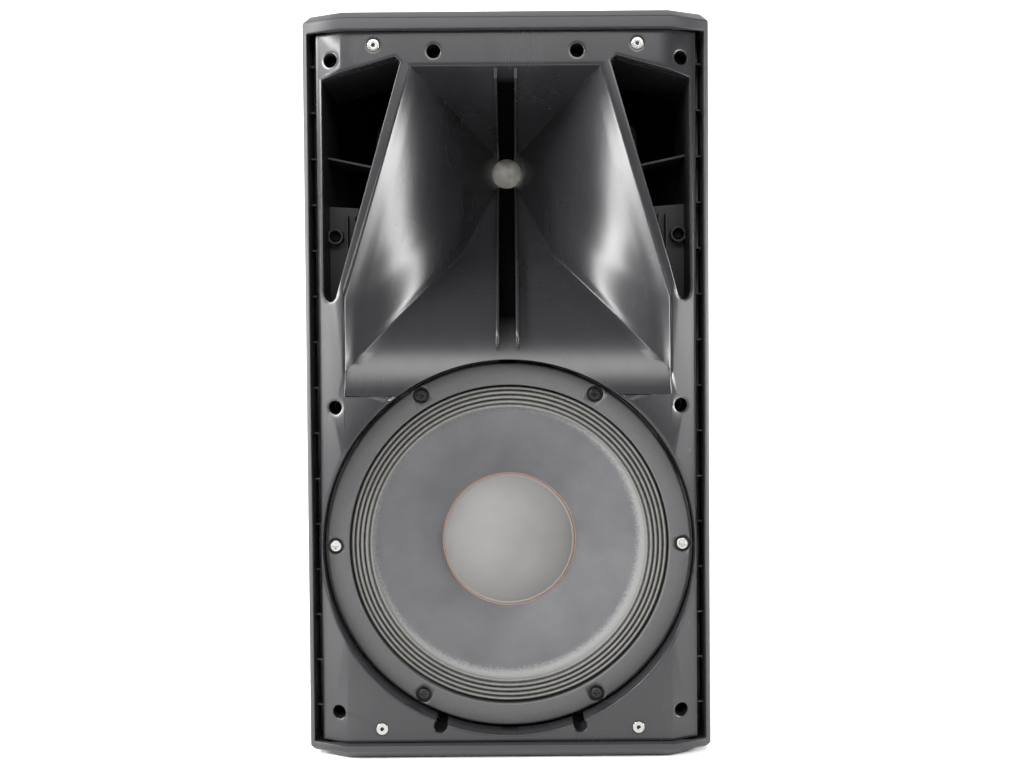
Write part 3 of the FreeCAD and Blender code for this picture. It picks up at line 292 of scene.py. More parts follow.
def smooth_plastic(name, colour, rough, channel=False):
    """Smooth moulded ABS: satin, with faint flow streaks and handling marks in its gloss.

    With `channel`, the strip between the horn's two vanes is painted near black as shade, fading in with
    depth into the horn."""
    made, tree, shader, coords = material(name)
    stretch = add(tree, "Mapping", {"Vector": coords, "Scale": (1.0, 1.0, 0.22)})
    streaks = add(tree, "TexNoise", {"Vector": stretch.outputs["Vector"], "Scale": per_mm(14), "Detail": 3.0,
                                     "Roughness": 0.5})
    cloud = add(tree, "TexNoise", {"Vector": coords, "Scale": per_mm(60), "Detail": 2.0})
    gloss = add(tree, "Math", {0: streaks.outputs["Fac"], 1: cloud.outputs["Fac"]}, operation="ADD")
    shade = add(tree, "MapRange", {"Value": gloss.outputs["Value"], "From Min": 0.6, "From Max": 1.4,
                                   "To Min": rough - 0.03, "To Max": rough + 0.03})
    tone = add(tree, "MixRGB", {"Fac": cloud.outputs["Fac"], "Color1": (*[c * 0.94 for c in colour], 1.0),
                                "Color2": (*[min(c * 1.06, 1.0) for c in colour], 1.0)})
    skin = add(tree, "TexNoise", {"Vector": coords, "Scale": per_mm(0.9), "Detail": 2.0})
    bump = add(tree, "Bump", {"Height": skin.outputs["Fac"], "Strength": 0.12, "Distance": 0.03 * MM})
    set_sockets(tree, shader, {"Base Color": tone.outputs["Color"], "Roughness": shade.outputs["Result"],
                               "Normal": bump.outputs["Normal"]})
    if channel:
        # painted shade: the strip between the vanes turns near black, fading in across the vanes' inner faces
        # and with depth
        parts = add(tree, "SeparateXYZ", {"Vector": coords})
        side = add(tree, "Math", {0: parts.outputs["X"]}, operation="ABSOLUTE")
        near = add(tree, "MapRange", {"Value": side.outputs["Value"], "From Min": 7.0 * MM,
                                      "From Max": 7.4 * MM, "To Min": 1.0, "To Max": 0.0})
        deep = add(tree, "MapRange", {"Value": parts.outputs["Y"], "From Min": BAFFLE_FRONT + 12 * MM,
                                      "From Max": BAFFLE_FRONT + 26 * MM})
        dull = add(tree, "Math", {0: near.outputs["Result"], 1: deep.outputs["Result"]}, operation="MULTIPLY")
        painted_channel_shade = add(tree, "BsdfDiffuse", {"Color": rgba("#060606"), "Roughness": 1.0})
        both = add(tree, "MixShader", {0: dull.outputs["Value"], 1: shader.outputs[0], 2: painted_channel_shade.outputs[0]})
        output = next(n for n in tree.nodes if n.type == "OUTPUT_MATERIAL")
        set_sockets(tree, output, {"Surface": both.outputs[0]})
    return made


def around(tree, coords, centre):
    """Radius and angle about a Y axis through `centre`, as two sockets."""
    local = add(tree, "Mapping", {"Vector": coords, "Location": (-centre.x, 0.0, -centre.z)})
    parts = add(tree, "SeparateXYZ", {"Vector": local.outputs["Vector"]})
    flat = add(tree, "CombineXYZ", {"X": parts.outputs["X"], "Z": parts.outputs["Z"]})
    radius = add(tree, "VectorMath", {0: flat.outputs["Vector"]}, operation="LENGTH")
    angle = add(tree, "Math", {0: parts.outputs["Z"], 1: parts.outputs["X"]}, operation="ARCTAN2")
    return radius.outputs["Value"], angle.outputs["Value"], local.outputs["Vector"]


def wave(tree, value, frequency, shift=0.0):
    """A sine of `value`, from 0 to 1."""
    turn = add(tree, "Math", {0: value, 1: frequency, 2: shift}, operation="MULTIPLY_ADD")
    sine = add(tree, "Math", {0: turn.outputs["Value"]}, operation="SINE")
    raised = add(tree, "Math", {0: sine.outputs["Value"], 1: 0.5, 2: 0.5}, operation="MULTIPLY_ADD")
    return raised.outputs["Value"]


def doped_cloth(colour, inner, outer, rolls):
    """Cotton cloth pressed into rolls and brushed with dope: threads show through a slight gloss.

    The crests are painted paler as highlight, and the valleys between them darker as painted shade."""
    made, tree, shader, coords = material("doped cotton surround", Roughness=0.55)
    radius, angle, _ = around(tree, coords, WOOFER)
    pitch = (outer - inner) / rolls
    # painted highlight on each roll's crest, painted shade in the valleys between them
    crest_highlight = wave(tree, radius, math.tau / pitch, -math.tau * inner / pitch - math.pi / 2)
    threads = wave(tree, angle, 620.0)
    rings = wave(tree, radius, math.tau / (0.9 * MM))
    weave = add(tree, "Math", {0: threads, 1: rings}, operation="MULTIPLY")
    mottle = add(tree, "TexNoise", {"Vector": coords, "Scale": per_mm(4), "Detail": 5.0})
    level = add(tree, "Math", {0: crest_highlight, 1: 0.75, 2: -0.1}, operation="MULTIPLY_ADD")
    both = add(tree, "Math", {0: weave.outputs["Value"], 1: 0.22, 2: level.outputs["Value"]},
               operation="MULTIPLY_ADD")
    weave_mottle_and_highlight = add(tree, "Math", {0: mottle.outputs["Fac"], 1: 0.35, 2: both.outputs["Value"]},
                     operation="MULTIPLY_ADD")
    # the ramp runs from painted valley shade to painted crest highlight; the weave and mottle move the tone
    # too
    tone = add(tree, "ValToRGB", {"Fac": weave_mottle_and_highlight.outputs["Value"]})
    tone.color_ramp.elements[0].position = 0.15
    tone.color_ramp.elements[0].color = rgba("#121210")
    tone.color_ramp.elements[1].position = 0.85
    tone.color_ramp.elements[1].color = rgba("#686764")
    middle = tone.color_ramp.elements.new(0.5)
    middle.color = (*colour, 1.0)
    bump = add(tree, "Bump", {"Height": weave.outputs["Value"], "Strength": 0.6, "Distance": 0.15 * MM})
    set_sockets(tree, shader, {"Base Color": tone.outputs["Color"], "Normal": bump.outputs["Normal"]})
    return made


def pressed_cone(colour, edge):
    """Pressed paper with a woven face: fine slanting ribs, and a paler band at its edge.

    The weave is near 1 mm, drawn as wide as it needs to show."""
    made, tree, shader, coords = material("woven-face cone paper", Roughness=0.6, Specular_IOR_Level=0.4)
    radius, angle, local = around(tree, coords, WOOFER)
    turned = add(tree, "Mapping", {"Vector": local, "Rotation": (0.0, math.radians(38), 0.0)})
    parts = add(tree, "SeparateXYZ", {"Vector": turned.outputs["Vector"]})
    ribs = wave(tree, parts.outputs["X"], math.tau / (1.7 * MM))
    cross = wave(tree, parts.outputs["Z"], math.tau / (1.3 * MM))
    weave = add(tree, "Math", {0: ribs, 1: cross}, operation="MULTIPLY")
    cloud = add(tree, "TexNoise", {"Vector": coords, "Scale": per_mm(35), "Detail": 5.0})
    speck = add(tree, "TexNoise", {"Vector": coords, "Scale": per_mm(1.6), "Detail": 4.0, "Roughness": 0.75})
    # the pale band at the edge is widest low on the right
    lean = add(tree, "Math", {0: angle, 1: 0.9}, operation="ADD")
    lobe = add(tree, "Math", {0: lean.outputs["Value"]}, operation="COSINE")
    start = add(tree, "Math", {0: lobe.outputs["Value"], 1: -4.0 * MM, 2: edge - 8.0 * MM},
                operation="MULTIPLY_ADD")
    past = add(tree, "Math", {0: radius, 1: start.outputs["Value"]}, operation="SUBTRACT")
    frayed = add(tree, "Math", {0: speck.outputs["Fac"], 1: 14.0 * MM, 2: past.outputs["Value"]},
                 operation="MULTIPLY_ADD")
    band = add(tree, "MapRange", {"Value": frayed.outputs["Value"], "From Min": 6.0 * MM,
                                  "From Max": 11.0 * MM})
    shade = add(tree, "Math", {0: cloud.outputs["Fac"], 1: 0.5, 2: 0.5}, operation="MULTIPLY_ADD")
    base = add(tree, "MixRGB", {"Fac": weave.outputs["Value"], "Color1": (*[c * 0.78 for c in colour], 1.0),
                                "Color2": (*[min(c * 1.2, 1.0) for c in colour], 1.0)})
    shaded = add(tree, "MixRGB", {"Fac": 1.0, "Color1": base.outputs["Color"],
                                  "Color2": shade.outputs["Value"]}, blend_type="MULTIPLY")
    tone = add(tree, "MixRGB", {"Fac": band.outputs["Result"], "Color1": shaded.outputs["Color"],
                                "Color2": rgba("#757574")})
    heights = add(tree, "MixRGB", {"Fac": band.outputs["Result"], "Color1": weave.outputs["Value"],
                                   "Color2": speck.outputs["Fac"]})
    bump = add(tree, "Bump", {"Height": heights.outputs["Color"], "Strength": 0.6, "Distance": 0.2 * MM})
    set_sockets(tree, shader, {"Base Color": tone.outputs["Color"], "Normal": bump.outputs["Normal"]})
    return made


def felted_cap(colour):
    """Pressed paper dust cap with a thin coat of paint: smooth, with a faint short fibre."""
    made, tree, shader, coords = material("coated dust cap paper", Roughness=0.58, Specular_IOR_Level=0.35)
    fibre = add(tree, "TexNoise", {"Vector": coords, "Scale": per_mm(1.2), "Detail": 4.0})
    cloud = add(tree, "TexNoise", {"Vector": coords, "Scale": per_mm(25), "Detail": 3.0})
    mixed = add(tree, "Math", {0: fibre.outputs["Fac"], 1: 0.35, 2: cloud.outputs["Fac"]},
                operation="MULTIPLY_ADD")
    tone = add(tree, "MixRGB", {"Fac": mixed.outputs["Value"], "Color1": (*[c * 0.84 for c in colour], 1.0),
                                "Color2": (*[min(c * 1.1, 1.0) for c in colour], 1.0)})
    bump = add(tree, "Bump", {"Height": fibre.outputs["Fac"], "Strength": 0.25, "Distance": 0.08 * MM})
    set_sockets(tree, shader, {"Base Color": tone.outputs["Color"], "Normal": bump.outputs["Normal"]})
    return made


def grained_rubber(name, code, rough=0.62, grain=1.1):
    """Moulded or cut rubber: dull black with a soft grain."""
    made, tree, shader, coords = material(name)
    grains = add(tree, "TexNoise", {"Vector": coords, "Scale": per_mm(grain), "Detail": 5.0,
                                    "Roughness": 0.6})
    shade = add(tree, "MapRange", {"Value": grains.outputs["Fac"], "To Min": rough - 0.08,
                                   "To Max": rough + 0.12})
    colour = linear(code)
    tone = add(tree, "MixRGB", {"Fac": grains.outputs["Fac"], "Color1": (*[c * 0.7 for c in colour], 1.0),
                                "Color2": (*[c * 1.3 for c in colour], 1.0)})
    bump = add(tree, "Bump", {"Height": grains.outputs["Fac"], "Strength": 0.45, "Distance": 0.12 * MM})
    set_sockets(tree, shader, {"Base Color": tone.outputs["Color"], "Roughness": shade.outputs["Result"],
                               "Normal": bump.outputs["Normal"]})
    return made


def plain_metal(name, code, rough, grain, metallic=1.0):
    """A plated, cast, painted or anodised metal: even colour with a fine grain in its gloss."""
    made, tree, shader, coords = material(name, Metallic=metallic)
    grains = add(tree, "TexNoise", {"Vector": coords, "Scale": per_mm(grain), "Detail": 4.0})
    shade = add(tree, "MapRange", {"Value": grains.outputs["Fac"], "To Min": rough - 0.1,
                                   "To Max": rough + 0.12})
    colour = linear(code)
    tone = add(tree, "MixRGB", {"Fac": grains.outputs["Fac"], "Color1": (*[c * 0.8 for c in colour], 1.0),
                                "Color2": (*[min(c * 1.15, 1.0) for c in colour], 1.0)})
    bump = add(tree, "Bump", {"Height": grains.outputs["Fac"], "Strength": 0.25, "Distance": 0.04 * MM})
    set_sockets(tree, shader, {"Base Color": tone.outputs["Color"], "Roughness": shade.outputs["Result"],
                               "Normal": bump.outputs["Normal"]})
    return made


def wire_mesh():
    """Fine woven bronze screen, nickel plated: small square holes between pale wires, with stains."""
    made, tree, shader, coords = material("nickel-plated wire screen", Metallic=0.55, Roughness=0.45)
    parts = add(tree, "SeparateXYZ", {"Vector": coords})
    across = wave(tree, parts.outputs["X"], math.tau / (0.9 * MM))
    up = wave(tree, parts.outputs["Z"], math.tau / (0.9 * MM))
    wires = add(tree, "Math", {0: across, 1: up}, operation="MAXIMUM")
    stain = add(tree, "TexNoise", {"Vector": coords, "Scale": per_mm(7), "Detail": 3.0})
    clean = add(tree, "MixRGB", {"Fac": stain.outputs["Fac"], "Color1": rgba("#6e6a62"),
                                 "Color2": rgba("#cfcdc6")})
    tone = add(tree, "MixRGB", {"Fac": wires.outputs["Value"], "Color1": rgba("#4a4843"),
                                "Color2": clean.outputs["Color"]})
    bump = add(tree, "Bump", {"Height": wires.outputs["Value"], "Strength": 0.5, "Distance": 0.15 * MM})
    set_sockets(tree, shader, {"Base Color": tone.outputs["Color"], "Normal": bump.outputs["Normal"]})
    return made


def fibre_wadding():
    """Loose polyester fibre: pale, matte, with tangled strands."""
    made, tree, shader, coords = material("polyester wadding", Roughness=0.95, Specular_IOR_Level=0.15)
    bent = add(tree, "TexNoise", {"Vector": coords, "Scale": per_mm(14), "Detail": 2.0})
    pulled = add(tree, "MixRGB", {"Fac": 0.12, "Color1": coords, "Color2": bent.outputs["Color"]})
    strands = add(tree, "TexWave", {"Vector": pulled.outputs["Color"], "Scale": 60.0, "Distortion": 9.0,
                                    "Detail": 4.0})
    tone = add(tree, "MixRGB", {"Fac": strands.outputs["Fac"], "Color1": rgba("#77746c"),
                                "Color2": rgba("#d9d6cd")})
    bump = add(tree, "Bump", {"Height": strands.outputs["Fac"], "Strength": 0.8, "Distance": 0.8 * MM})
    set_sockets(tree, shader, {"Base Color": tone.outputs["Color"], "Normal": bump.outputs["Normal"]})
    return made


def circuit_board():
    """Glass-epoxy board under green solder mask, with tracks that show as paler lines."""
    made, tree, shader, coords = material("solder-masked circuit board", Roughness=0.35)
    tracks = add(tree, "TexBrick", {"Vector": add(tree, "Mapping", {
        "Vector": coords, "Rotation": (math.radians(90), 0.0, 0.0)}).outputs["Vector"],
        "Scale": per_mm(20), "Mortar Size": 0.03, "Color1": rgba("#0f3a22"), "Color2": rgba("#124427"),
        "Mortar": rgba("#2f6b40")})
    set_sockets(tree, shader, {"Base Color": tracks.outputs["Color"]})
    return made


def clear_lens():
    """Tinted acrylic light pipe: glossy green with a milky core."""
    made, tree, shader, coords = material("tinted acrylic lens", Roughness=0.12, Coat_Weight=0.5)
    haze = add(tree, "TexNoise", {"Vector": coords, "Scale": per_mm(2), "Detail": 2.0})
    tone = add(tree, "MixRGB", {"Fac": haze.outputs["Fac"], "Color1": rgba("#1d6b39"),
                                "Color2": rgba("#4fc27a")})
    set_sockets(tree, shader, {"Base Color": tone.outputs["Color"]})
    return made


# ---- baffle -----------------------------------------------------------------------------

# horn sections as (x, z) in millimetres: the right-hand half from the top down
HORN_MOUTH = [(80.0, 584.0), (137.6, 390.0), (138.0, 328.0)]
HORN_CREASE = [(42.0, 556.0), (42.0, 490.0), (42.0, 431.0)]
HORN_NECK = [(9.0, THROAT.z / MM + 14.5), (16.8, THROAT.z / MM), (9.0, THROAT.z / MM - 14.5)]
HORN_SPLIT = (8, 14, 9, 22)                 # points along the top, upper side, lower side and bottom
CREASE_DEPTH = 80.0 * MM
MOUTH_DEPTH = 0.3 * MM
NECK_RADIUS = 14.6 * MM
NECK_STEPS = 10
HORN_SKIN = 0.35 * MM                       # the wall's thickness
HORN_LIFT = 0.25 * MM                       # how far its back stands off the baffle
RECESS_RADIUS = 160.1 * MM                  # the woofer's round recess
# the floor that flares from the crease out to the plate, as (depth, z) in millimetres
FLOOR_START, FLOOR_ROWS = 307.6, 30
FLOOR = [(0.1 * rise + 0.004443 * rise ** 2, FLOOR_START + rise)
         for rise in ((HORN_CREASE[2][1] - FLOOR_START) * k / FLOOR_ROWS for k in range(FLOOR_ROWS + 1))]
LIP_END = 341.0                             # above this height the floor stands clear of the plate
LIP_ROWS = 8                                # rows of the floor that make its lip
LIP_INSET = 1.0                             # how far inside the mouth's sides the plate's cut stops
LIP_SINK = 0.5                              # how far under the lip it goes
CUTTER_REACH = 2.0                          # how far in front of the plate it starts
VANE_X, VANE_HALF, VANE_TALL, VANE_FOOT = 8.5, 1.45, 9.4, 344.0


def horn_ring(section, y, swell, roundness=0.0, floor=None, passes=12):
    """One closed ring of the horn's inside, as points; `roundness` 1 is the throat's circle.

    The ring's lower side lies on `floor`, a (y, z), where one is given; `passes` soften its side corners."""
    right = [Vector((x * MM, y, z * MM)) for x, z in section]
    if floor:
        right[2].z = floor[1]
    left = [Vector((-p.x, p.y, p.z)) for p in right]
    corners = [left[0], right[0], right[1], right[2], left[2], left[1]]
    counts = (HORN_SPLIT[0], HORN_SPLIT[1], HORN_SPLIT[2], HORN_SPLIT[3], HORN_SPLIT[2], HORN_SPLIT[1])
    height = right[0].z - right[2].z
    ring = []
    for i, count in enumerate(counts):
        ring += [corners[i].lerp(corners[(i + 1) % 6], k / count) for k in range(count)]
    first, side = HORN_SPLIT[0], HORN_SPLIT[1] + HORN_SPLIT[2]
    walls = (range(first, first + side + 1), [k % len(ring) for k in range(len(ring) - side, len(ring) + 1)])
    for wall in walls:
        for _ in range(passes):
            widths = [ring[k].x for k in wall]
            for k, before, here, after in zip(wall[1:-1], widths, widths[1:], widths[2:]):
                ring[k].x = (before + 2 * here + after) / 4
    for point in ring:
        down = min(max((right[0].z - point.z) / height, 0.0), 1.0)
        if 0.0 < down < 1.0:
            point.x -= math.copysign(swell * math.sin(math.pi * down) ** 0.6, point.x)
        if floor and (floor[0] < point.y or down > 0.9999):
            point.y += (floor[0] - point.y) * down ** 3
    if roundness > 0:
        for point in ring:
            spoke = Vector((point.x - THROAT.x, 0.0, point.z - THROAT.z)).normalized()
            rim = Vector((THROAT.x, point.y, THROAT.z)) + spoke * NECK_RADIUS
            point.xz = point.xz.lerp(rim.xz, roundness)
    return ring


def between(first, second, t):
    return [(a[0] + (b[0] - a[0]) * t, a[1] + (b[1] - a[1]) * t) for a, b in zip(first, second)]


def horn_skin(sizes, skin):
    """The horn's smooth inside wall, as a thin shell with curved sides and a rolled lower lip."""
    mouth_y = BAFFLE_FRONT + MOUTH_DEPTH
    throat_y = THROAT.y - 0.6 * MM
    loops = []
    for k, (depth, z) in enumerate(FLOOR):
        t = max((z - HORN_MOUTH[2][1]) / (HORN_CREASE[2][1] - HORN_MOUTH[2][1]), 0.002 * k)
        swell = sizes.horn_swell * math.sin(math.pi * min(t, 1.0)) ** 0.9 + 0.2 * MM
        loops.append(horn_ring(between(HORN_MOUTH, HORN_CREASE, t),
                               mouth_y + (CREASE_DEPTH - MOUTH_DEPTH) * t, swell,
                               floor=(BAFFLE_FRONT + depth * MM, z * MM), passes=min(round(40 * t), 12)))
    crease_y = BAFFLE_FRONT + CREASE_DEPTH
    for k in range(1, NECK_STEPS + 1):
        t = k / NECK_STEPS
        section = between(HORN_CREASE, HORN_NECK, t)
        loops.append(horn_ring(section, crease_y + (throat_y - crease_y) * t, 0.2 * MM, t ** 3))
    bm = bmesh.new()
    previous = None
    for points in loops:
        verts = [bm.verts.new(p) for p in points]
        edges = [bm.edges.new((a, b)) for a, b in zip(verts, verts[1:] + verts[:1])]
        if previous:
            bmesh.ops.bridge_loops(bm, edges=previous + edges)
        previous = edges
    bmesh.ops.recalc_face_normals(bm, faces=bm.faces)
    # faces look towards the axis, then the wall is thickened away from it
    top = max(bm.faces, key=lambda f: f.calc_center_median().z)
    if top.normal.z > 0:
        bmesh.ops.reverse_faces(bm, faces=bm.faces)
    bm.normal_update()
    count, first, last = len(loops[0]), HORN_SPLIT[0], HORN_SPLIT[0] + HORN_SPLIT[1] + HORN_SPLIT[2]
    for i, vert in enumerate(bm.verts):
        row, k = divmod(i, count)
        on_side = first < k < last or k > count - (last - first)
        # the rows of the lip lie too close together along the sides to give a true normal
        inward = Vector((-math.copysign(1.0, vert.co.x), 0, 0)) if row < LIP_ROWS and on_side else vert.normal
        vert.co += inward * (HORN_SKIN + HORN_LIFT)
        vert.co.y = max(vert.co.y, BAFFLE_FRONT - MOUTH_DEPTH)
    # the four long corners are rounded, from just inside the lip to the throat
    corners = (0, first, last, count - (last - first))
    seams = [edge for edge in bm.edges
             if all(v.index >= (LIP_ROWS + 1) * count and v.index % count in corners for v in edge.verts)
             and (edge.verts[0].index - edge.verts[1].index) % count == 0]
    bmesh.ops.bevel(bm, geom=seams, offset=0.8 * MM, segments=3, profile=0.5, affect="EDGES")
    bmesh.ops.solidify(bm, geom=bm.faces[:], thickness=HORN_SKIN)
    piece = finish(outward(bm), "horn_wall", skin)
    cut_recess(piece)
    piece.data.set_sharp_from_angle(angle=math.radians(35))
    return piece


def floor_vanes(skin):
    """The two ribs that stand on the horn's floor, from the lip up to the throat."""
    neck = (HORN_CREASE[2][1], THROAT.z / MM - 14.5)
    end = ((THROAT.y - BAFFLE_FRONT) / MM - 15.0, neck[0] + (neck[1] - neck[0]) * 0.86)
    line = [(depth, z) for depth, z in FLOOR if z > VANE_FOOT]
    line += [(FLOOR[-1][0] + (end[0] - FLOOR[-1][0]) * k / 8, neck[0] + (end[1] - neck[0]) * k / 8)
             for k in range(1, 9)]
    bm = bmesh.new()
    for side in (-1, 1):
        previous = None
        for k, (depth, z) in enumerate(line):
            after, before = line[min(k + 1, len(line) - 1)], line[max(k - 1, 0)]
            along = Vector((0.0, after[0] - before[0], after[1] - before[1])).normalized()
            rise = Vector((0.0, -along.z, along.y))
            tall = VANE_TALL * min(1.0, 0.12 + math.sqrt(k / 3)) * min(1.0, (len(line) - 1 - k) / 6 + 0.05)
            foot = Vector((side * VANE_X, BAFFLE_FRONT / MM + depth, z)) - rise
            points = [(foot + rise * lift + Vector((half, 0, 0))) * MM
                      for half, lift in ((-VANE_HALF, 0.0), (VANE_HALF, 0.0), (VANE_HALF, tall + 1),
                                         (-VANE_HALF, tall + 1))]
            verts = [bm.verts.new(p) for p in points]
            edges = [bm.edges.new((a, b)) for a, b in zip(verts, verts[1:] + verts[:1])]
            if previous:
                bmesh.ops.bridge_loops(bm, edges=previous + edges)
            if k in (0, len(line) - 1):
                bm.faces.new(verts)
            previous = edges
    piece = finish(outward(bm), "horn_vanes", skin)
    add_bevel(piece, 1.1 * MM, 3, 40.0)
    return piece


def lip_room():
    """A bmesh of what the rolled lip takes off the plate."""
    half = HORN_MOUTH[2][0] * MM - LIP_INSET * MM
    front = BAFFLE_FRONT - CUTTER_REACH * MM
    profile = [(BAFFLE_FRONT + (depth + LIP_SINK) * MM, z * MM) for depth, z in FLOOR if z < LIP_END]
    profile = [(front, FLOOR_START * MM), *profile, (front, LIP_END * MM)]
    bm = bmesh.new()
    face = bm.faces.new([bm.verts.new((-half, y, z)) for y, z in profile])
    swept = bmesh.ops.extrude_face_region(bm, geom=[face])
    bmesh.ops.translate(bm, verts=[v for v in swept["geom"] if isinstance(v, bmesh.types.BMVert)],
                        vec=(2 * half, 0, 0))
    return outward(bm)


def cut_recess(piece):
    """Cut away what would stand in the woofer's round recess."""
    carve(piece, [(WOOFER.x, WOOFER.z, RECESS_RADIUS)], 180)


def carve(piece, bores, sides=40):
    """Bore round holes (x, z, radius) along Y right through the front of a piece."""
    bm = bmesh.new()
    for x, z, radius in bores:
        place = Matrix.Translation((x, BAFFLE_FRONT, z)) @ Matrix.Rotation(math.radians(90), 4, "X")
        bmesh.ops.create_cone(bm, cap_ends=True, segments=sides, radius1=radius, radius2=radius, depth=0.2,
                              matrix=place)
    subtract(piece, bm)


def subtract(piece, bm):
    """Take a bmesh's solid away from a piece, for good."""
    mesh = bpy.data.meshes.new("cutter")
    bm.to_mesh(mesh)
    bm.free()
    cutter = bpy.data.objects.new("cutter", mesh)
    bpy.context.scene.collection.objects.link(cutter)
    cut = piece.modifiers.new("cut", "BOOLEAN")
    cut.operation, cut.solver, cut.object = "DIFFERENCE", "EXACT", cutter
    graph = bpy.context.evaluated_depsgraph_get()
    left = bpy.data.meshes.new_from_object(piece.evaluated_get(graph))
    piece.modifiers.clear()
    piece.data = left
    bpy.data.objects.remove(cutter)


# ---- soft and moving pieces -----------------------------------------------------------------

def flexing(piece, moving, centre, inner, outer):
    """Bake a piece's place into its mesh; it is not bent. `moving`, `centre`, `inner` and `outer` are not
    used.
    """
    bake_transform(piece)


# section of the rubber ring as (radius, y) in millimetres, its outer edge rounded and its inner one bevelled
RING_SECTION = [(138.0, -135.0), (138.0, -137.4), (138.5, -138.2), (139.4, -138.5), (154.6, -138.5),
                (155.6, -138.3), (156.4, -137.7), (156.8, -136.9), (156.9, -135.0)]
NOTCH_AT, NOTCH_R = 149.7, 7.2
SURROUND_INNER, SURROUND_OUTER, SURROUND_LIP = 121.3, 137.2, 142.4
SURROUND_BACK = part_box("woofer_surround")[1].y / MM - 0.6
CONE_KNOTS = [(38.4, -90.1), (72.0, -110.5), (121.4, -130.4)]     # the cone's front as (radius, y)
SPIDER_NECK = 40.0
TINSEL_SPAN = (46.0, 84.0)                  # radii where the tinsel leads leave the cone and the frame
CAP_RADIUS, CAP_RISE = 57.2, 15.0


def surround_line(sizes):
    """Front of the surround from its glued inner edge, over its rolls, to the lip under the ring."""
    pitch = (SURROUND_OUTER - SURROUND_INNER) / sizes.rolls
    line = [(SURROUND_INNER - 3.0, SURROUND_BACK - 0.45), (SURROUND_INNER - 0.6, SURROUND_BACK - 0.5)]
    for roll in range(sizes.rolls):
        for k in range(13):
            t = k / 13
            rise = math.sin(math.pi * t) ** 0.75 * sizes.roll_height / MM
            line.append((SURROUND_INNER + pitch * (roll + t), SURROUND_BACK - rise))
    return line + [(SURROUND_OUTER, SURROUND_BACK), (SURROUND_LIP, SURROUND_BACK)]


def cone_y(radius):
    """Depth of the cone's front at a radius, both in millimetres."""
    (r0, y0), (r1, y1), (r2, y2) = CONE_KNOTS
    return (y0 * (radius - r1) * (radius - r2) / ((r0 - r1) * (r0 - r2))
            + y1 * (radius - r0) * (radius - r2) / ((r1 - r0) * (r1 - r2))
            + y2 * (radius - r0) * (radius - r1) / ((r2 - r0) * (r2 - r1)))


def cap_line():
    """Front of the dust cap from its middle to the turned-out lip at its rim."""
    bowl = (CAP_RADIUS ** 2 + CAP_RISE ** 2) / (2 * CAP_RISE)
    apex = cone_y(CAP_RADIUS) - 0.8 - CAP_RISE
    line = []
    for k in range(25):
        r = (CAP_RADIUS - 1.6) * k / 24
        line.append((r, apex + bowl - math.sqrt(bowl ** 2 - r ** 2)))
    edge = line[-1][1]
    return line + [(CAP_RADIUS - 1.1, edge + 0.35), (CAP_RADIUS - 0.6, edge - 0.05),
                   (CAP_RADIUS + 0.3, edge - 0.2), (CAP_RADIUS + 0.9, edge + 0.4),
                   (CAP_RADIUS + 1.0, edge + 1.2)]


def twisted_lead(name, route, strand, turns, colours):
    """Insulated wires twisted round each other along a route, each its own piece."""
    points = [Vector(p) * MM for p in route]
    path = bpy.data.curves.new(name, "CURVE")
    spline = path.splines.new("BEZIER")
    spline.bezier_points.add(len(points) - 1)
    for point, target in zip(spline.bezier_points, points):
        point.co = target
        point.handle_left_type = point.handle_right_type = "AUTO"
    middle = points_along(spline, 12)
    bpy.data.curves.remove(path)
    total = len(middle)
    pieces = []
    for index, colour in enumerate(colours):
        wire = bpy.data.curves.new(name, "CURVE")
        wire.dimensions = "3D"
        wire.bevel_depth = strand * MM
        wire.bevel_resolution = 2
        wire.use_fill_caps = True
        line = wire.splines.new("POLY")
        line.points.add(total - 1)
        for k, spot in enumerate(middle):
            ahead = middle[min(k + 1, total - 1)] - middle[max(k - 1, 0)]
            side = ahead.cross(Vector((0.31, 0.9, 0.27))).normalized()
            up = ahead.normalized().cross(side)
            turn = math.tau * (turns * k / total + index / len(colours))
            spread = strand * MM if len(colours) > 1 else 0.0
            shifted = spot + (side * math.cos(turn) + up * math.sin(turn)) * spread
            line.points[k].co = (*shifted, 1.0)
        holder = bpy.data.objects.new(name, wire)
        bpy.context.scene.collection.objects.link(holder)
        graph = bpy.context.evaluated_depsgraph_get()
        mesh = bpy.data.meshes.new_from_object(holder.evaluated_get(graph))
        bpy.data.objects.remove(holder)
        bpy.data.curves.remove(wire)
        bm = bmesh.new()
        bm.from_mesh(mesh)
        bpy.data.meshes.remove(mesh)
        bmesh.ops.remove_doubles(bm, verts=bm.verts, dist=1e-6)
        pieces.append(finish(outward(bm), f"{name}_{index + 1}", colour))
    return pieces


def points_along(spline, resolution):
    """Points along a Bezier spline."""
    line = []
    knots = spline.bezier_points
    for a, b in zip(knots, knots[1:]):
        line += interpolate_bezier(a.co, a.handle_right, b.handle_left, b.co, resolution)[:-1]
    return line + [knots[-1].co.copy()]


WADDING_INNER = 66.0 * MM                    # from the middle plane to each pad


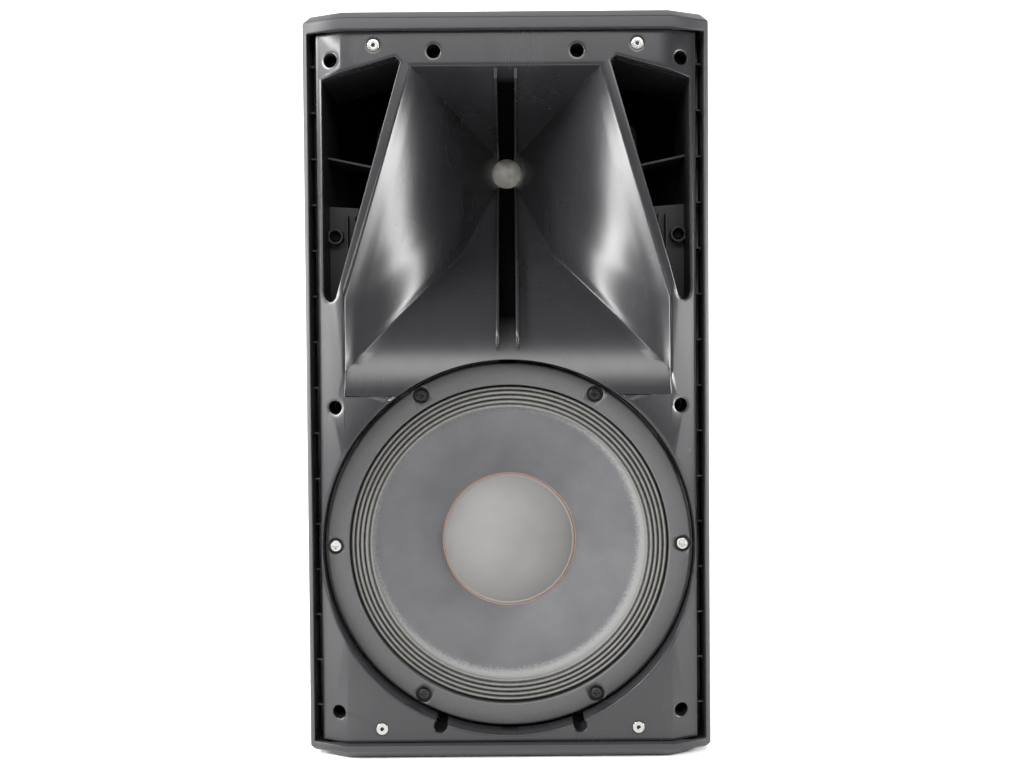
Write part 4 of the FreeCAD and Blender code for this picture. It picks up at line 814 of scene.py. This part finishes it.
def wadding_pad(node, name, fluff, material):
    """A pad of loose fibre with soft corners and an uneven surface, for each solid of a CAD node."""
    low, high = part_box(node)
    bm = bmesh.new()
    inner = WADDING_INNER
    for side in (-1, 1):
        size = Vector((high.x - inner, high.y - low.y, high.z - low.z)) - Vector((1, 1, 1)) * fluff
        middle = Vector((side * (high.x + inner) / 2, (high.y + low.y) / 2, (high.z + low.z) / 2))
        place = Matrix.Translation(middle) @ Matrix.Diagonal((*size, 1.0))
        bmesh.ops.create_cube(bm, size=1.0, matrix=place)
    bmesh.ops.subdivide_edges(bm, edges=bm.edges[:], cuts=14, use_grid_fill=True)
    for _ in range(6):
        bmesh.ops.smooth_vert(bm, verts=bm.verts[:], factor=0.5, use_axis_x=True, use_axis_y=True,
                              use_axis_z=True)
    bm.normal_update()
    for vert in bm.verts:
        coarse = noise.noise(vert.co / (18 * MM))
        fine = noise.noise(vert.co / (5 * MM))
        vert.co += vert.normal * fluff * (0.35 * coarse + 0.15 * fine)
    piece = finish(outward(bm), name, material, replaces=(node,))
    swell = piece.modifiers.new("soft", "SUBSURF")
    swell.levels = swell.render_levels = 1
    return piece


def dial_marks(centre, y):
    """A bmesh of raised marks round a knob: long ones at the ends and top, short ones between."""
    bm = bmesh.new()
    for step in range(11):
        turn = math.radians(-150 + 30 * step)
        length = 3.4 if step in (0, 5, 10) else 2.2
        place = (Matrix.Translation((centre.x, y, centre.z)) @ Matrix.Rotation(turn, 4, "Y")
                 @ Matrix.Translation((0, 0, (15.5 + length / 2) * MM))
                 @ Matrix.Diagonal((0.9 * MM, 0.3 * MM, length * MM, 1.0)))
        made = bmesh.ops.create_cube(bm, size=1.0, matrix=place)
        tip = [v for v in made["verts"] if v.co.y > y]
        middle = sum((v.co for v in tip), Vector()) / len(tip)
        for vert in tip:
            vert.co = middle + (vert.co - middle) * 0.8
    return outward(bm)


# routes of the inside leads in millimetres, the same as the CAD's
WOOFER_ROUTE = [(85.7, -75, 227.3), (85.7, -47, 227.3), (95, -6, 240), (88, 34, 252), (66, 70, 250),
                (60, 84, 246), (60, 100, 246)]
DRIVER_ROUTE = [(-18, 50, 496), (-18, 68, 496), (-26, 86, 468), (-38, 86, 432), (-47, 80, 384),
                (-54, 82, 340), (-55, 88, 322), (-55, 100, 322)]
MAINS_ROUTE = [(40, 124, 180), (40, 112, 180), (16, 109, 173), (-12, 110, 174), (-42, 114, 181),
               (-42, 126, 181)]


PANEL_FACE = 148.0 * MM                     # the amplifier panel's outer face
WORLD_STRENGTH = 0.2
# each lamp's name, place in metres, width and height in metres, and power in watts
LIGHTS = (
    ("left_softbox", (-1.3, -0.26, 0.42), (0.4, 0.7), 25.0),
    ("right_softbox", (1.3, -0.26, 0.42), (0.4, 0.7), 25.0),
    ("key_softbox", (-1.25, -0.9, 1.25), (0.6, 0.6), 42.0),
    ("top_softbox", (0.0, -1.65, 1.35), (1.8, 0.6), 26.0),
    ("backdrop_wash", (0.0, 1.0, 2.6), (3.0, 0.6), 120.0),
)
BACKDROP = (0.0, 2.6, 0.9)                  # where the backdrop's lamp points
CAMERA_PLACE = (0.0035, -1.216, 0.3465)
CAMERA_LENS = 44.1
CAMERA_TURN = (-1.6, 0.0, -0.44)            # pitch, yaw and roll in degrees


# ---- operators --------------------------------------------------------------------------------

class CABINET_OT_case(bpy.types.Operator):
    """Make the moulded case, its handle, feet, fixings and pole socket"""
    bl_idname = "cabinet.case"
    bl_label = "Case and fittings"

    def execute(self, context):
        sizes, colours = context.scene.cabinet_sizes, context.scene.cabinet_colours
        edge = sizes.small_edge
        rounded("cabinet_shell", "case", sizes.case_edge,
                pebbled_plastic("pebbled polypropylene case", colours.case, 0.48, 1.1))
        for node, name, code in (("top_handle", "handle", "#1d1d1e"), ("rubber_feet", "feet", "#1a1a1b")):
            rounded(node, name, 3 * edge, grained_rubber(f"moulded {name} rubber", code))
        fitting = pebbled_plastic("glass-filled nylon fitting", linear("#1f1f20"), 0.45, 0.9)
        rounded("pole_socket", "pole_cup", 2 * edge, fitting)
        black = plain_metal("black-oxide screw steel", "#2c2c2e", 0.38, 0.8)
        rounded("case_screws", "case_fixings", edge, black)
        zinc = plain_metal("bright zinc-plated steel", "#b9b9b4", 0.3, 1.2)
        rounded("rigging_inserts", "rigging_bushes", edge, zinc)
        return {"FINISHED"}


class CABINET_OT_baffle(bpy.types.Operator):
    """Make the baffle with its curved horn walls, ducts, screws and grille bushes"""
    bl_idname = "cabinet.baffle"
    bl_label = "Baffle and horn"

    def execute(self, context):
        sizes, colours = context.scene.cabinet_sizes, context.scene.cabinet_colours
        edge = sizes.small_edge
        skin = smooth_plastic("satin moulded ABS baffle", colours.baffle, 0.26, channel=True)
        plate = finish(merged_copy("front_baffle"), "baffle", skin,
                       replaces=("front_baffle",))
        subtract(plate, lip_room())
        add_bevel(plate, sizes.baffle_edge, 3)
        horn_skin(sizes, skin)
        floor_vanes(skin)
        rounded("port_ducts", "ducts", edge, smooth_plastic("black moulded duct ABS", linear("#101011"), 0.5))
        rounded("baffle_gasket", "seal_strip", edge,
                grained_rubber("closed-cell foam strip", "#161616", 0.9, 0.8))
        rounded("baffle_screws", "baffle_fixings", edge,
                plain_metal("black-oxide baffle screw steel", "#1b1b1c", 0.42, 0.8))
        rounded("grille_inserts", "grille_bushes", edge,
                plain_metal("nickel-plated brass bush", "#a8a7a3", 0.22, 1.0))
        return {"FINISHED"}


class CABINET_OT_woofer_front(bpy.types.Operator):
    """Make the woofer's ring, surround, cone and dust cap"""
    bl_idname = "cabinet.woofer_front"
    bl_label = "Woofer front"

    def execute(self, context):
        sizes, colours = context.scene.cabinet_sizes, context.scene.cabinet_colours
        edge = sizes.small_edge
        ring = finish(spun_loop(RING_SECTION, WOOFER, 200), "front_ring",
                      grained_rubber("moulded rubber ring", "#454546", 0.5, 1.6),
                      replaces=("woofer_front_gasket",))
        carve(ring, [(WOOFER.x + NOTCH_AT * MM * math.cos(math.radians(a)),
                      WOOFER.z + NOTCH_AT * MM * math.sin(math.radians(a)), NOTCH_R * MM)
                     for a in range(0, 360, 60)])
        line = surround_line(sizes)
        cloth = doped_cloth(colours.surround, SURROUND_INNER * MM, SURROUND_OUTER * MM, sizes.rolls)
        surround = finish(spun(line, 0.5, WOOFER, 180), "pleated_surround", cloth, None,
                          ("woofer_surround",))
        flexing(surround, "woofer_moving", WOOFER, SURROUND_INNER, SURROUND_OUTER)
        inner, outer = CONE_KNOTS[0][0], CONE_KNOTS[-1][0]
        radii = [inner + (outer - inner) * k / 40 for k in range(41)]
        cone = [(r, cone_y(r) - (0.25 if r > 114 else 0.0)) for r in radii]
        finish(spun(cone, 1.2, WOOFER, 192), "woven_cone",
               pressed_cone(colours.cone, outer * MM), "woofer_moving", ("woofer_cone",))
        finish(spun(cap_line(), 0.5, WOOFER, 144), "cap", felted_cap(colours.cap),
               "woofer_moving", ("woofer_dust_cap",))
        bead = [(CAP_RADIUS + 0.9 + 0.9 * (1 - math.cos(math.pi * k / 8)),
                 cone_y(CAP_RADIUS + 0.9) + 0.3 - 0.9 * math.sin(math.pi * k / 8)) for k in range(9)]
        finish(spun(bead, 0.8, WOOFER, 144), "cap_glue_line",
               grained_rubber("amber contact glue", "#9a6a52", 0.5, 1.4), "woofer_moving")
        black = plain_metal("blackened screw steel", "#3a3a3c", 0.35, 1.0)
        bright = plain_metal("zinc-plated screw steel", "#c4c3be", 0.28, 1.0)
        screws = rounded("woofer_screws", "woofer_fixings", edge, black)
        screws.data.materials.append(bright)
        for face in screws.data.polygons:
            if abs(face.center.z - WOOFER.z) < 20 * MM:
                face.material_index = 1
        return {"FINISHED"}


class CABINET_OT_woofer_motor(bpy.types.Operator):
    """Make the woofer's frame, spider, leads and magnet behind the cone"""
    bl_idname = "cabinet.woofer_motor"
    bl_label = "Woofer motor"

    def execute(self, context):
        edge = context.scene.cabinet_sizes.small_edge
        rounded("woofer_frame", "frame", 2 * edge,
                plain_metal("black painted pressed steel", "#232325", 0.45, 1.5, 0.2))
        rounded("woofer_seat_gasket", "seat_seal", edge,
                grained_rubber("cork-rubber seal", "#2b2622", 0.85, 1.2))
        spider_edge = (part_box("woofer_spider")[1].x - WOOFER.x) / MM
        cloth = grained_rubber("resin-dipped spider cloth", "#a98a55", 0.8, 0.9)
        spider = finish(merged_copy("woofer_spider"), "spider", cloth, None,
                        ("woofer_spider",))
        flexing(spider, "woofer_moving", WOOFER, SPIDER_NECK, spider_edge - 4.0)
        braid = plain_metal("tinned copper braid", "#c08a5a", 0.4, 0.7)
        tinsel = finish(merged_copy("woofer_tinsel_leads"), "tinsel_leads", braid, None,
                        ("woofer_tinsel_leads",))
        flexing(tinsel, "woofer_moving", WOOFER, *TINSEL_SPAN)
        steel = plated_steel()
        for node in ("woofer_top_plate", "woofer_pole_piece"):
            rounded(node, node + "_turned", 2 * edge, steel)
        rounded("woofer_magnet", "woofer_ferrite", 3 * edge,
                plain_metal("ground ferrite ceramic", "#3b3b3d", 0.5, 2.0, 0.0))
        paint(plain_metal("anodised coil former", "#c7a27a", 0.35, 1.0), "woofer_coil_former")
        paint(plain_metal("enamelled copper winding", "#b5673a", 0.3, 0.5), "woofer_voice_coil",
              "driver_voice_coil")
        paint(plain_metal("tin-plated terminal brass", "#cfc9b4", 0.35, 1.0), "woofer_terminals")
        return {"FINISHED"}


class CABINET_OT_driver(bpy.types.Operator):
    """Make the compression driver and the screen in the horn's throat"""
    bl_idname = "cabinet.driver"
    bl_label = "Compression driver"

    def execute(self, context):
        edge = context.scene.cabinet_sizes.small_edge
        cast = plain_metal("die-cast aluminium", "#8e8f91", 0.5, 1.3)
        rounded("driver_front_plate", "driver_flange", 2 * edge, cast)
        paint(cast, "driver_phase_plug")
        steel = plated_steel()
        rounded("driver_rear_plate", "driver_back_plate", 2 * edge, steel)
        rounded("driver_magnet", "driver_ferrite", 3 * edge,
                plain_metal("ground ferrite block", "#3b3b3d", 0.5, 2.0, 0.0))
        rounded("driver_cover", "driver_cap", 2 * edge,
                pebbled_plastic("moulded driver cover", linear("#222224"), 0.5, 0.9))
        foil = plain_metal("formed titanium foil", "#a7a29b", 0.32, 1.0)
        dome = finish(merged_copy("driver_diaphragm"), "dome", foil, None, ("driver_diaphragm",))
        low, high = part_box("driver_diaphragm")
        outer = (high.x - low.x) / 2 / MM
        flexing(dome, "driver_moving", THROAT, outer * 0.72, outer * 0.95)
        paint(plain_metal("zinc-plated bolt steel", "#b9b9b4", 0.3, 1.2), "driver_bolts")
        screen = finish(merged_copy("driver_throat_screen"), "throat_mesh", wire_mesh(),
                        replaces=("driver_throat_screen",))
        add_bevel(screen, 0.15 * MM)
        return {"FINISHED"}


class CABINET_OT_amplifier(bpy.types.Operator):
    """Make the rear amplifier panel with its controls, sockets and boards"""
    bl_idname = "cabinet.amplifier"
    bl_label = "Amplifier panel"

    def execute(self, context):
        edge = context.scene.cabinet_sizes.small_edge
        rounded("amp_panel", "rear_panel", edge,
                plain_metal("black powder-coated panel aluminium", "#1c1d1f", 0.5, 1.0, 0.0))
        rounded("amp_panel_gasket", "panel_seal", edge,
                grained_rubber("panel foam strip", "#161616", 0.9, 0.8))
        rounded("heatsink", "fins", edge,
                plain_metal("black anodised heatsink aluminium", "#202123", 0.36, 0.9))
        body = pebbled_plastic("moulded nylon socket", linear("#1a1a1b"), 0.4, 0.7)
        for node, name in (("input_jack_1", "socket_1"), ("input_jack_2", "socket_2"),
                           ("link_connector", "link_socket"), ("mains_inlet", "mains_socket"),
                           ("power_switch", "switch_body"), ("control_bodies", "control_cases")):
            rounded(node, name, edge, body)
        knob = smooth_plastic("soft-touch knob plastic", linear("#242426"), 0.45)
        rounded("gain_knob_1", "knob_1", edge, knob, "gain_1")
        rounded("gain_knob_2", "knob_2", edge, knob, "gain_2")
        rounded("power_rocker", "rocker_cap", edge, knob, "rocker")
        button = smooth_plastic("grey button plastic", linear("#77787a"), 0.4)
        rounded("contour_button", "button", edge, button, "contour")
        rounded("jack_latch_1", "latch_tab_1", edge, button, "latch_1")
        rounded("jack_latch_2", "latch_tab_2", edge, button, "latch_2")
        rounded("indicator_lens", "lens_cap", edge, clear_lens())
        ink = smooth_plastic("screen-printed white ink", linear("#d8d8d4"), 0.6)
        for number, node in enumerate(("gain_knob_1", "gain_knob_2"), 1):
            finish(dial_marks(centre_of(node), PANEL_FACE), f"dial_marks_{number}", ink,
                   smooth=False)
        board = circuit_board()
        paint(board, "input_board", "amp_board")
        paint(plain_metal("nickel-plated standoff", "#b5b3a8", 0.35, 1.0), "board_standoffs")
        paint(smooth_plastic("shrink-sleeved capacitor", linear("#1c2f5c"), 0.35), "amp_capacitors")
        paint(grained_rubber("varnished transformer tape", "#7a5b22", 0.5, 1.5), "power_transformer")
        return {"FINISHED"}


class CABINET_OT_leads(bpy.types.Operator):
    """Make the twisted leads inside the case"""
    bl_idname = "cabinet.leads"
    bl_label = "Inside leads"

    def execute(self, context):
        red = grained_rubber("red PVC insulation", "#8c1f1c", 0.45, 2.0)
        black = grained_rubber("black PVC insulation", "#1a1a1b", 0.45, 2.0)
        blue = grained_rubber("blue PVC insulation", "#1f3f8c", 0.45, 2.0)
        leads = (("woofer_lead", WOOFER_ROUTE, 1.08, 9, (red, black)),
                 ("driver_lead", DRIVER_ROUTE, 0.98, 11, (red, black)),
                 ("mains_lead", MAINS_ROUTE, 0.88, 6, (blue, black)))
        for node, route, strand, turns, colours in leads:
            pieces = twisted_lead(node + "_wire", route, strand, turns, colours)
            for piece in pieces:
                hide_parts(node)
        return {"FINISHED"}


class CABINET_OT_wadding(bpy.types.Operator):
    """Make the fibre pads beside the horn"""
    bl_idname = "cabinet.wadding"
    bl_label = "Wadding"

    def execute(self, context):
        wadding_pad("acoustic_wadding", "wadding_pads", context.scene.cabinet_sizes.fluff, fibre_wadding())
        return {"FINISHED"}


class CABINET_OT_stage(bpy.types.Operator):
    """Make the floor, the lights and the camera"""
    bl_idname = "cabinet.stage"
    bl_label = "Stage, lights and camera"

    def execute(self, context):
        scene = context.scene
        bm = bmesh.new()
        floor_line = [(-3.0, 0.0)] + [(2.2 + 0.8 * math.sin(t), 0.8 - 0.8 * math.cos(t))
                                      for t in (math.pi / 2 * k / 12 for k in range(13))] + [(3.0, 3.4)]
        verts = [bm.verts.new((-4.0, y, z)) for y, z in floor_line]
        edges = [bm.edges.new(pair) for pair in zip(verts, verts[1:])]
        swept = bmesh.ops.extrude_edge_only(bm, edges=edges)
        bmesh.ops.translate(bm, verts=[v for v in swept["geom"] if isinstance(v, bmesh.types.BMVert)],
                            vec=(8.0, 0, 0))
        bmesh.ops.recalc_face_normals(bm, faces=bm.faces)
        mesh = bpy.data.meshes.new("floor")
        bm.to_mesh(mesh)
        bm.free()
        for face in mesh.polygons:
            face.use_smooth = True
        floor = bpy.data.objects.new("floor", mesh)
        scene.collection.objects.link(floor)
        mesh.materials.append(material("pale painted floor", Roughness=0.9, Base_Color=rgba("#f4f4f4"))[0])
        world = bpy.data.worlds.new("studio")
        world.use_nodes = True
        sky = world.node_tree.nodes["Background"]
        sky.inputs["Color"].default_value = rgba("#ffffff")
        sky.inputs["Strength"].default_value = WORLD_STRENGTH
        scene.world = world
        target = (Vector(CAD_BOX[0]) + Vector(CAD_BOX[1])) / 2
        for name, place, size, power in LIGHTS:
            data = bpy.data.lights.new(name, "AREA")
            data.shape = "RECTANGLE"
            data.size, data.size_y = size
            data.energy = power
            lamp = bpy.data.objects.new(name, data)
            lamp.location = place
            aim = target if name != "backdrop_wash" else Vector(BACKDROP)
            lamp.rotation_euler = (aim - Vector(place)).to_track_quat("-Z", "Z").to_euler()
            scene.collection.objects.link(lamp)
        data = bpy.data.cameras.new("camera")
        data.sensor_width = 36.0
        data.lens = CAMERA_LENS
        data.clip_start, data.clip_end = 0.05, 20.0
        camera = bpy.data.objects.new("camera", data)
        camera.location = CAMERA_PLACE
        pitch, yaw, roll = (math.radians(a) for a in CAMERA_TURN)
        camera.rotation_euler = (Matrix.Rotation(yaw, 3, "Z") @ Matrix.Rotation(math.pi / 2 + pitch, 3, "X")
                                 @ Matrix.Rotation(roll, 3, "Z")).to_euler()
        scene.collection.objects.link(camera)
        scene.camera = camera
        scene.view_settings.view_transform = "Standard"
        return {"FINISHED"}


class CABINET_PT_panel(bpy.types.Panel):
    bl_label = "Loudspeaker cabinet"
    bl_space_type = "VIEW_3D"
    bl_region_type = "UI"
    bl_category = "Cabinet"

    def draw(self, context):
        for group in (context.scene.cabinet_sizes, context.scene.cabinet_colours):
            box = self.layout.box()
            for name in group.__annotations__:
                box.prop(group, name)
        for operator in OPERATORS:
            self.layout.operator(operator.bl_idname)


OPERATORS = (CABINET_OT_case, CABINET_OT_baffle, CABINET_OT_woofer_front, CABINET_OT_woofer_motor,
             CABINET_OT_driver, CABINET_OT_amplifier, CABINET_OT_leads, CABINET_OT_wadding, CABINET_OT_stage)
CLASSES = (CabinetSizes, CabinetColours, *OPERATORS, CABINET_PT_panel)


def register():
    for cls in CLASSES:
        bpy.utils.register_class(cls)
    bpy.types.Scene.cabinet_sizes = bpy.props.PointerProperty(type=CabinetSizes)
    bpy.types.Scene.cabinet_colours = bpy.props.PointerProperty(type=CabinetColours)


def unregister():
    del bpy.types.Scene.cabinet_sizes
    del bpy.types.Scene.cabinet_colours
    for cls in reversed(CLASSES):
        bpy.utils.unregister_class(cls)


def main():
    register()
    for cls in OPERATORS:
        group, name = cls.bl_idname.split(".")
        getattr(getattr(bpy.ops, group), name)()


if __name__ == "__main__":
    main()
